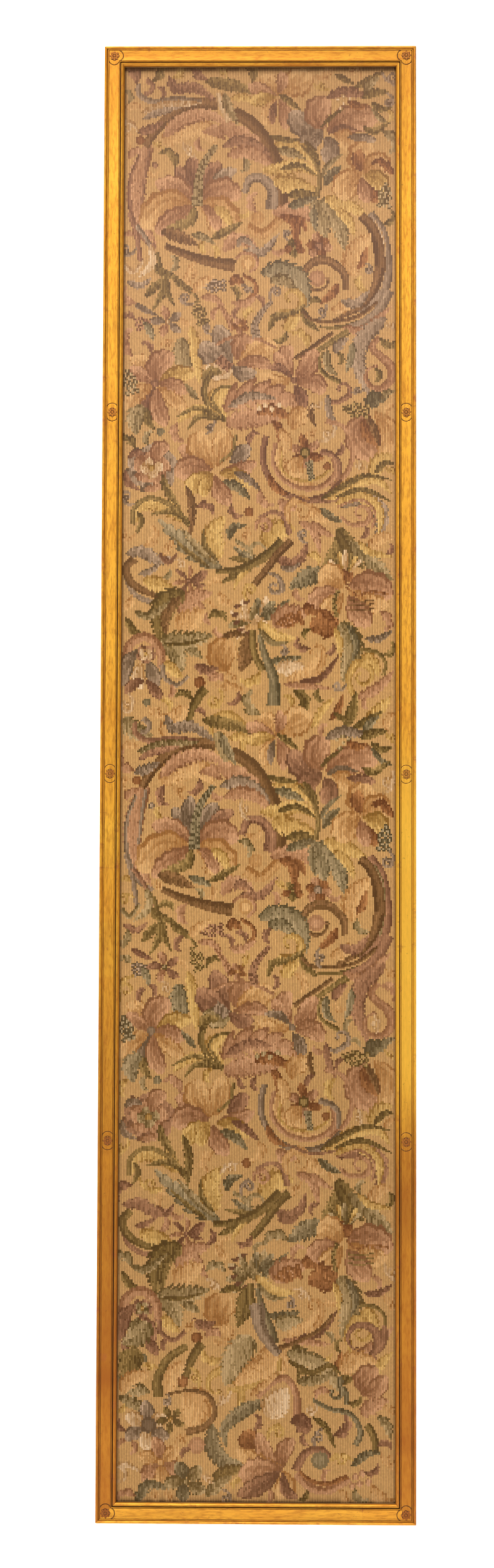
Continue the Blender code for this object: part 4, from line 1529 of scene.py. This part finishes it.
def fill_gaps(d, seed, count):
    """Grows small leaves and curls into the widest gaps that are left between the motifs."""
    random = np.random.default_rng(seed)
    grow = (
        ("leaf", "ochre", 2.9), ("leaf", "olive", 2.2), ("curl", "peach", 2.9),
        ("leaf", "rose", 2.7), ("leaf", "sage", 2.5), ("curl", "cream", 2.4),
        ("leaf", "peach", 3.0), ("curl", "slate", 2.4), ("leaf", "plum", 2.3),
        ("curl", "ochre", 2.8),
    )
    rows, cols = np.nonzero(d.wool != WOOL_NUMBER["ground"])
    drawn = np.stack([d.x[cols], d.y[rows]], 1)
    gx, gy = np.meshgrid(np.arange(-190, 191, 6.0), np.arange(6, 2044, 6.0))
    spots = np.stack([gx.ravel(), gy.ravel()], 1)
    room = np.empty(len(spots))
    root = np.empty(len(spots), int)
    for number, spot in enumerate(spots):
        near = (drawn[:, 1] > spot[1] - 60) & (drawn[:, 1] < spot[1] + 60)
        places = np.flatnonzero(near)
        gaps = np.hypot(*(drawn[places] - spot).T)
        best = gaps.argmin()
        room[number] = gaps[best]
        root[number] = places[best]
    for number in range(count):
        widest = int(room.argmax())
        space = room[widest]
        if space < 8:
            return
        spot = spots[widest]
        start = drawn[root[widest]]
        way = (spot - start) / space
        side = np.array([-way[1], way[0]]) * random.choice((-1, 1))
        kind, wool, base = grow[int(random.integers(len(grow)))]
        wide = min(space * 0.95, 22)
        points = [
            start, spot - 0.25 * space * way + 0.30 * space * side, spot + 0.55 * space * way,
            spot + 0.75 * space * way - 0.75 * space * side]
        if kind == "leaf":
            d.leaf(wool, wide, *np.ravel(points), lobes=int(space > 12) * 3,
                   light=int(random.choice((-1, 1))), base=base)
        else:
            middle = spot + 0.1 * space * way - 0.35 * space * side
            d.curl(wool, 3, wide * 0.55, middle, 300, *np.ravel(points[:3]), base=base)
        close = np.hypot(*(spots - spot).T)
        room = np.minimum(room, np.maximum(close - 0.85 * space, 0))


def weave_cartoon(seed):
    """Draws every drop of the repeat; the second changes some wools, and the foot is its own."""
    cartoon = Cartoon(seed)
    for drop, (change, foot_change) in enumerate((({}, {}), (SECOND_DROP, SECOND_FOOT))):
        cartoon.change = change
        cartoon.down = drop * REPEAT
        draw_rings(cartoon)
        draw_middle(cartoon)
        cartoon.change = foot_change
        draw_foot(cartoon)
    cartoon.down = 0.0
    cartoon.change = {}
    draw_ending(cartoon)
    fill_gaps(cartoon, seed, 260)
    return cartoon.wool


# ------------------------ the cloth

# The longest stretch of one wool before the mesh is divided, and the coarser back.
LONGEST_RUN = 30
BACK_PICKS = 4
BACK_RIBS = 2

# The flat map: the face cut into columns, the back beside them and the edges round it.
FACE_COLUMNS = 3
COLUMN_STEP = 0.293
COLUMN_WIDE = 0.286
BACK_LEFT = 0.885
BACK_WIDE = 0.105
MAP_LOW = 0.004
MAP_TALL = 0.985
SIDE_LEFT = 0.9925
END_LOW = 0.9925

# How far across its rib a point lies: a groove or the back on the line, a top in the middle.
RIB_SHARE = {"groove": 0.0, "top": 0.5, "back": 0.0}


def tidy_single_picks(wool):
    """Takes a lone pick that differs by a tone or two into the pick above it."""
    above = wool[:-2]
    here = wool[1:-1]
    below = wool[2:]
    lone = (here != above) & (here != below) & (np.abs(here - above) <= 2)
    here[lone] = above[lone]


def rib_breaks(column, forced):
    """Picks where one rib is divided: its wool changes there, or a run would be too long."""
    breaks = set(forced)
    breaks.update((np.flatnonzero(column[1:] != column[:-1]) + 1).tolist())
    ordered = sorted(breaks)
    for low, high in zip(ordered, ordered[1:]):
        parts = math.ceil((high - low) / LONGEST_RUN)
        breaks.update(low + (high - low) * k // parts for k in range(1, parts))
    return sorted(breaks)


def cloth_point(x, row, depth):
    """A point of the stretched cloth, which wavers and bellies a little away from its edges."""
    z = CLOTH_HIGH[2] - row * PICK * MM
    edge = min((row / PICKS) * 60, (1 - row / PICKS) * 60, (CLOTH_WIDTH / 2 - abs(x)) / 0.012, 1.0)
    edge = max(edge, 0.0)
    waver = 0.0006 * wander(x, z, 0.11, 3.0) + 0.00022 * wander(x, z, 0.022, 8.0)
    belly = 0.0009 * (0.5 + 0.5 * wander(x, z, 0.24, 5.0)) + 0.0003 * wander(x, z, 0.05, 2.0)
    return (x + waver * edge, CLOTH_FRONT + depth - belly * edge, z)


class ClothHalf:
    """Half of the cloth's width as one closed mesh: ribbed face, flat back and edges."""

    def __init__(self, wool, first, last, relief):
        self.wool = wool
        self.first = first
        self.last = last
        self.depth = {"groove": relief, "top": 0.0, "back": CLOTH_BACK - CLOTH_FRONT}
        self.points = []
        self.faces = []
        self.dyes = []
        self.groove_shades = []
        self.places = []
        self.index = {}
        self.face_rows = [round(PICKS * k / FACE_COLUMNS) for k in range(FACE_COLUMNS + 1)]
        self.back_rows = [*range(0, PICKS, BACK_PICKS), PICKS]
        self.back_lines = [*range(first, last, BACK_RIBS), last]

    def point(self, kind, line, row):
        """The number of a point on a groove, on a rib's top or on the back."""
        key = (kind, line, row)
        if key not in self.index:
            x = (line + RIB_SHARE[kind]) * RIB * MM - CLOTH_WIDTH / 2
            self.index[key] = len(self.points)
            self.points.append(cloth_point(x, row, self.depth[kind]))
        return self.index[key]

    def across(self, kind, line):
        """How far across the half a point lies, from 0 to 1."""
        return (line + RIB_SHARE[kind] - self.first) / (self.last - self.first)

    def flat_place(self, kind, line, row, column):
        """Where a point of the face or back lies on the flat map."""
        share = self.across(kind, line)
        if kind == "back":
            return BACK_LEFT + BACK_WIDE * share, MAP_LOW + MAP_TALL * (1 - row / PICKS)
        low = self.face_rows[column]
        high = self.face_rows[column + 1]
        return (MAP_LOW + COLUMN_STEP * column + COLUMN_WIDE * share,
                MAP_LOW + MAP_TALL * (1 - (row - low) / (high - low)))

    def add_face(self, corners, dye, groove_shades, places):
        """A face, with the wool, the shade and the flat place of each corner."""
        self.faces.append([self.point(*corner) for corner in corners])
        self.dyes += [dye] * len(corners)
        self.groove_shades += groove_shades
        self.places += places

    def add_wool(self, corners, dye, column):
        """A face of the front or back, with painted shade where it touches a groove."""
        groove_shades = [float(kind == "groove") for kind, _, _ in corners]
        places = [self.flat_place(*corner, column) for corner in corners]
        self.add_face(corners, dye, groove_shades, places)

    def weave_face(self):
        """Lays each rib as two slopes. Each slope's groove side has its neighbour's breaks too."""
        breaks = {}
        for rib in range(self.first, self.last):
            breaks[rib] = rib_breaks(self.wool[:, rib], self.face_rows)
        grooves = {}
        for line in range(self.first, self.last + 1):
            merged = set()
            for rib in (line - 1, line):
                merged.update(breaks.get(rib, ()))
            if line in (self.first, self.last):
                merged.update(self.back_rows)
            grooves[line] = sorted(merged)
        for rib in range(self.first, self.last):
            for line, first_side in ((rib, True), (rib + 1, False)):
                rows = grooves[line]
                for low, high in zip(breaks[rib], breaks[rib][1:]):
                    between = rows[bisect_left(rows, low):bisect_right(rows, high)]
                    corners = [("groove", line, row) for row in between]
                    corners += [("top", rib, high), ("top", rib, low)]
                    if not first_side:
                        corners.reverse()
                    column = sum(low >= edge for edge in self.face_rows[1:-1])
                    self.add_wool(corners, self.wool[low, rib], column)
        return grooves

    def weave_back(self):
        """Lays the flat back in coarser patches of the same wools."""
        for left, right in zip(self.back_lines, self.back_lines[1:]):
            for low, high in zip(self.back_rows, self.back_rows[1:]):
                corners = [
                    ("back", left, low), ("back", right, low),
                    ("back", right, high), ("back", left, high)]
                self.add_wool(corners, self.wool[low + (high - low) // 2, left], 0)

    def close_edges(self, grooves):
        """Side walls run from the outer grooves to the back, and end walls across the ribs."""
        for line in (self.first, self.last):
            rows = grooves[line]
            for low, high in zip(self.back_rows, self.back_rows[1:]):
                between = [("groove", line, row) for row in rows if low <= row <= high]
                corners = between + [("back", line, high), ("back", line, low)]
                if line == self.first:
                    corners.reverse()
                places = [
                    (SIDE_LEFT + (0.005 if kind == "back" else 0.0),
                     MAP_LOW + MAP_TALL * (1 - row / PICKS)) for kind, _, row in corners]
                dye = self.wool[low, min(line, self.last - 1)]
                # The hidden side walls get half a groove's painted shade.
                self.add_face(corners, dye, [0.5] * len(corners), places)
        for row in (0, PICKS):
            for left, right in zip(self.back_lines, self.back_lines[1:]):
                corners = []
                for rib in range(left, right):
                    corners += [("groove", rib, row), ("top", rib, row)]
                corners += [("groove", right, row), ("back", right, row), ("back", left, row)]
                if row == PICKS:
                    corners.reverse()
                lift = {"groove": 0.002, "top": 0.0, "back": 0.004}
                places = [
                    (BACK_LEFT + BACK_WIDE * self.across(kind, line),
                     END_LOW + lift[kind] + (0.0 if row == 0 else 0.0005))
                    for kind, line, _ in corners]
                dye = self.wool[min(row, PICKS - 1), left]
                # The hidden end walls get half a groove's painted shade.
                self.add_face(corners, dye, [0.5] * len(corners), places)


def build_cloth_half(name, chart, first, last, relief, material):
    half = ClothHalf(chart, first, last, relief)
    grooves = half.weave_face()
    half.weave_back()
    half.close_edges(grooves)
    piece = make_piece(name, half.points, half.faces, [material])
    dyes = dye_table()[np.asarray(half.dyes)]
    # The dye layer holds each corner's wool colour, and in its fourth number the painted shade of
    # the grooves.
    paint_layer(piece, "dye", "CORNER", np.column_stack([dyes, half.groove_shades]))
    corner_map(piece, half.places)
    piece.data.shade_smooth()
    sharpen_grooves(piece.data, half)
    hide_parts("tapestry")


def sharpen_grooves(mesh, half):
    """Ribs are round across their tops and meet in a crease at each groove."""
    crease = np.zeros(len(mesh.vertices), bool)
    for (kind, _, _), number in half.index.items():
        if kind != "top":
            crease[number] = True
    ends = np.empty(len(mesh.edges) * 2, np.int32)
    mesh.edges.foreach_get("vertices", ends)
    ends = ends.reshape(-1, 2)
    sharp = crease[ends[:, 0]] & crease[ends[:, 1]]
    layer = mesh.attributes.new("sharp_edge", "BOOLEAN", "EDGE")
    layer.data.foreach_set("value", sharp)


# ------------------------ the stage


WALL_Y = 0.045
SWEEP_BEND = 0.10


def area_light(name, place, target, size, watts, colour):
    """A soft rectangular light at a place, turned to its target."""
    data = bpy.data.lights.new(name, "AREA")
    data.shape = "RECTANGLE"
    data.size = size[0]
    data.size_y = size[1]
    data.energy = watts
    data.color = colour
    light = add_object(name, data)
    light.location = place
    light.rotation_euler = (Vector(target) - Vector(place)).to_track_quat("-Z", "Y").to_euler()
    return data


def build_sweep(settings):
    """Pale paper that runs along the floor and bends up the wall behind the object."""
    floor_z = BOTTOM_Z - settings.floor_gap
    bend_y = WALL_Y - SWEEP_BEND
    steps = 12
    profile = [(-7.0, floor_z), (bend_y, floor_z)]
    for index in range(1, steps + 1):
        angle = math.radians(90 * index / steps)
        y = bend_y + SWEEP_BEND * math.sin(angle)
        z = floor_z + SWEEP_BEND - SWEEP_BEND * math.cos(angle)
        profile.append((y, z))
    profile.append((WALL_Y, TOP_Z + 1.6))
    points = [(x, y, z) for y, z in profile for x in (-4.0, 4.0)]
    faces = [(at, at + 1, at + 3, at + 2) for at in range(0, len(points) - 2, 2)]
    mesh = bpy.data.meshes.new("studio_sweep")
    mesh.from_pydata(points, [], faces)
    mesh.materials.append(paper(settings))
    mesh.shade_smooth()
    add_object("studio_sweep", mesh)


def light_stage(settings):
    """Even light from all round, a key above, a weak fill and a card for the gilding."""
    world = bpy.data.worlds.new("studio air")
    bpy.context.scene.world = world
    world.use_nodes = True
    air = world.node_tree.nodes["Background"]
    air.inputs["Color"].default_value = (*settings.air_colour[:3], 1.0)
    air.inputs["Strength"].default_value = settings.air
    warm = (1.0, 0.97, 0.92)
    key = area_light(
        "key", (-0.9, -2.0, TOP_Z + 2.6), (0.0, 0.0, TOP_Z - 0.2), (2.6, 1.6), settings.key, warm)
    key.spread = math.radians(110)
    area_light(
        "fill", (1.8, -3.0, TOP_Z), (0.0, 0.0, MIDDLE_Z), (2.0, 2.0), settings.fill,
        (1.0, 0.98, 0.95))
    area_light(
        "card", (-0.05, -3.2, 0.05), (0.0, 0.0, -0.6), (2.0, 1.1), settings.card, warm)


def place_camera():
    """A camera a little below the object's middle, tilted slightly up."""
    data = bpy.data.cameras.new("camera")
    data.lens = 60.0
    data.sensor_width = 36.0
    camera = add_object("camera", data)
    camera.location = (0.040, -3.737, -1.2595)
    camera.rotation_euler = [math.radians(turn) for turn in (93.124, -0.197, 0.847)]
    bpy.context.scene.camera = camera
    bpy.context.scene.view_settings.view_transform = "Standard"


# ------------------------ what a user may change


def colour_property(name, description, hex_code):
    return bpy.props.FloatVectorProperty(
        name=name, description=description, default=rgb(hex_code), size=4, subtype="COLOR",
        min=0.0, max=1.0)


def share_property(name, description, default):
    return bpy.props.FloatProperty(
        name=name, description=description, default=default, min=0.0, max=1.0, subtype="FACTOR")


def length_property(name, description, default, low, high):
    return bpy.props.FloatProperty(
        name=name, description=description, default=default, min=low, max=high, unit="LENGTH")


def power_property(name, description, default):
    return bpy.props.FloatProperty(
        name=name, description=description, default=default, min=0.0, unit="POWER")


class TapestryWoolSettings(bpy.types.PropertyGroup):
    """The cloth's ribs and dyes."""

    relief: length_property(
        "Rib relief", "How far the ribs stand over their grooves", 0.00062, 0.0001, 0.0015)
    groove: share_property("Groove shade", "How dark the grooves between ribs are", 0.66)
    fading: share_property("Fading", "How far the top of the cloth has faded", 0.14)
    seed: bpy.props.IntProperty(
        name="Hatching", description="Changes the hatching of the wools and the small leaves",
        default=7, min=0)
    ground: colour_property("Dust", "Colour that dust and age bring the wools towards", "cb9d66")
    bleached: colour_property("Bleached wool", "Colour that light fades the top towards", "cdaaa0")
    # This colour is also used for the painted shade and shadow on the cloth, and for the darkening
    # near its top.
    shade: colour_property("Groove colour", "Colour down in the grooves", "543617")


class TapestryGildingSettings(bpy.types.PropertyGroup):
    """The frame's gold, its wear and the wood behind."""

    gold_pale: colour_property("Gold, pale", "Leaf where it lies thick and clean", "fbc444")
    gold_deep: colour_property("Gold, deep", "Leaf where it is thin or toned", "e4982c")
    # The toning colour is also the colour of the frame's painted shade towards the foot.
    toned: colour_property("Toning", "Brown glaze over the gold", "9e5818")
    bole: colour_property("Bole", "Red clay that shows where the gold is rubbed", "a0521e")
    patina: colour_property("Patina", "Dirt held in the grooves", "4a2a10")
    metal: share_property("Metal", "How metallic sound leaf is", 0.66)
    wear: share_property("Wear", "How much gold is rubbed off", 0.75)
    leaf_size: length_property(
        "Leaf size", "Length of one leaf of gold along a rail", 0.078, 0.02, 0.2)
    wood_pale: colour_property("Wood, pale", "Early growth of the bare wood", "b48c5c")
    wood_dark: colour_property("Wood, dark", "Late growth of the bare wood", "7c5834")
    wood_dust: colour_property("Wood, dust", "Dust on the back", "9a8874")


class TapestryStageSettings(bpy.types.PropertyGroup):
    """The studio round the object."""

    paper: colour_property("Paper", "Colour of the studio sweep", "ffffff")
    air_colour: colour_property("Air colour", "Colour of the light from all round", "fffaf2")
    air: share_property("Air", "Strength of the light from all round", 0.14)
    key: power_property("Key light", "Power of the light above the object", 85.0)
    fill: power_property("Fill light", "Power of the light beside the camera", 2.0)
    card: power_property("Card", "Power of the soft card that the gilding reflects", 14.0)
    floor_gap: length_property("Floor gap", "How far the floor is below the frame", 0.25, 0.0, 2.0)


class TapestrySettings(bpy.types.PropertyGroup):
    wool: bpy.props.PointerProperty(type=TapestryWoolSettings)
    gilding: bpy.props.PointerProperty(type=TapestryGildingSettings)
    stage: bpy.props.PointerProperty(type=TapestryStageSettings)


class TAPESTRY_OT_cloth(bpy.types.Operator):
    """Weave the tapestry and stretch it in the frame's rabbet"""

    bl_idname = "tapestry.cloth"
    bl_label = "Weave the cloth"

    def execute(self, context):
        settings = context.scene.tapestry.wool
        chart = weave_cartoon(settings.seed)
        tidy_single_picks(chart)
        material = wool(settings)
        middle = (RIBS + 1) // 2
        relief = settings.relief
        build_cloth_half("tapestry_left_half", chart, 0, middle, relief, material)
        build_cloth_half("tapestry_right_half", chart, middle, RIBS, relief, material)
        return {"FINISHED"}


class TAPESTRY_OT_frame(bpy.types.Operator):
    """Run the four mitred rails of the gilded moulding"""

    bl_idname = "tapestry.frame"
    bl_label = "Build the frame"

    def execute(self, context):
        settings = context.scene.tapestry.gilding
        upright = gilding("gilding on stiles", settings, "Z")
        level = gilding("gilding on rails", settings, "X")
        wood = bare_wood(settings)
        spacing = (FRAME_HEIGHT - 2 * FLAT_MIDDLE) / (ROSETTES_PER_STILE - 1)
        down = [FLAT_MIDDLE - FRAME_HEIGHT / 2 + spacing * k for k in range(ROSETTES_PER_STILE)]
        across = [FLAT_MIDDLE - FRAME_WIDTH / 2, FRAME_WIDTH / 2 - FLAT_MIDDLE]
        half = FRAME_WIDTH / 2
        rows = (
            ("rail_top", FRAME_WIDTH, 0, (0.0, TOP_Z), across, level),
            ("rail_bottom", FRAME_WIDTH, 180, (0.0, BOTTOM_Z), across, level),
            ("stile_left", FRAME_HEIGHT, -90, (-half, MIDDLE_Z), down, upright),
            ("stile_right", FRAME_HEIGHT, 90, (half, MIDDLE_Z), down, upright),
        )
        for number, (name, length, turn, middle, flowers, gold) in enumerate(rows):
            build_rail(
                name, length, math.radians(turn), middle, flowers, (gold, wood), 3.0 * number)
        return {"FINISHED"}


class TAPESTRY_OT_rosettes(bpy.types.Operator):
    """Carve the ten rosettes"""

    bl_idname = "tapestry.rosettes"
    bl_label = "Carve the rosettes"

    def execute(self, context):
        settings = context.scene.tapestry.gilding
        material = gilding("gilding on rosettes", settings, "Z")
        for side_number, side in enumerate(("left", "right")):
            for index in range(ROSETTES_PER_STILE):
                seed = 1.7 * index + 11.0 * side_number
                build_rosette(f"rosette_{side}_{index + 1}", material, seed)
        return {"FINISHED"}


class TAPESTRY_OT_stage(bpy.types.Operator):
    """Set up the studio, its lights and the camera"""

    bl_idname = "tapestry.stage"
    bl_label = "Set the stage"

    def execute(self, context):
        settings = context.scene.tapestry.stage
        build_sweep(settings)
        light_stage(settings)
        place_camera()
        return {"FINISHED"}


class TAPESTRY_PT_panel(bpy.types.Panel):
    """Lists the pieces and what can be changed about them"""

    bl_idname = "TAPESTRY_PT_panel"
    bl_label = "Framed tapestry"
    bl_space_type = "VIEW_3D"
    bl_region_type = "UI"
    bl_category = "Tapestry"

    def draw(self, context):
        settings = context.scene.tapestry
        groups = (
            (settings.wool, ("tapestry.cloth",)),
            (settings.gilding, ("tapestry.frame", "tapestry.rosettes")),
            (settings.stage, ("tapestry.stage",)),
        )
        for group, operators in groups:
            box = self.layout.box()
            for name in group.__annotations__:
                box.prop(group, name)
            for operator in operators:
                box.operator(operator)


CLASSES = (
    TapestryWoolSettings,
    TapestryGildingSettings,
    TapestryStageSettings,
    TapestrySettings,
    TAPESTRY_OT_cloth,
    TAPESTRY_OT_frame,
    TAPESTRY_OT_rosettes,
    TAPESTRY_OT_stage,
    TAPESTRY_PT_panel,
)


def register():
    for listed in CLASSES:
        bpy.utils.register_class(listed)
    bpy.types.Scene.tapestry = bpy.props.PointerProperty(type=TapestrySettings)


def unregister():
    del bpy.types.Scene.tapestry
    for listed in reversed(CLASSES):
        bpy.utils.unregister_class(listed)


def main():
    register()
    bpy.ops.tapestry.cloth()
    bpy.ops.tapestry.frame()
    bpy.ops.tapestry.rosettes()
    bpy.ops.tapestry.stage()


if __name__ == "__main__":
    main()
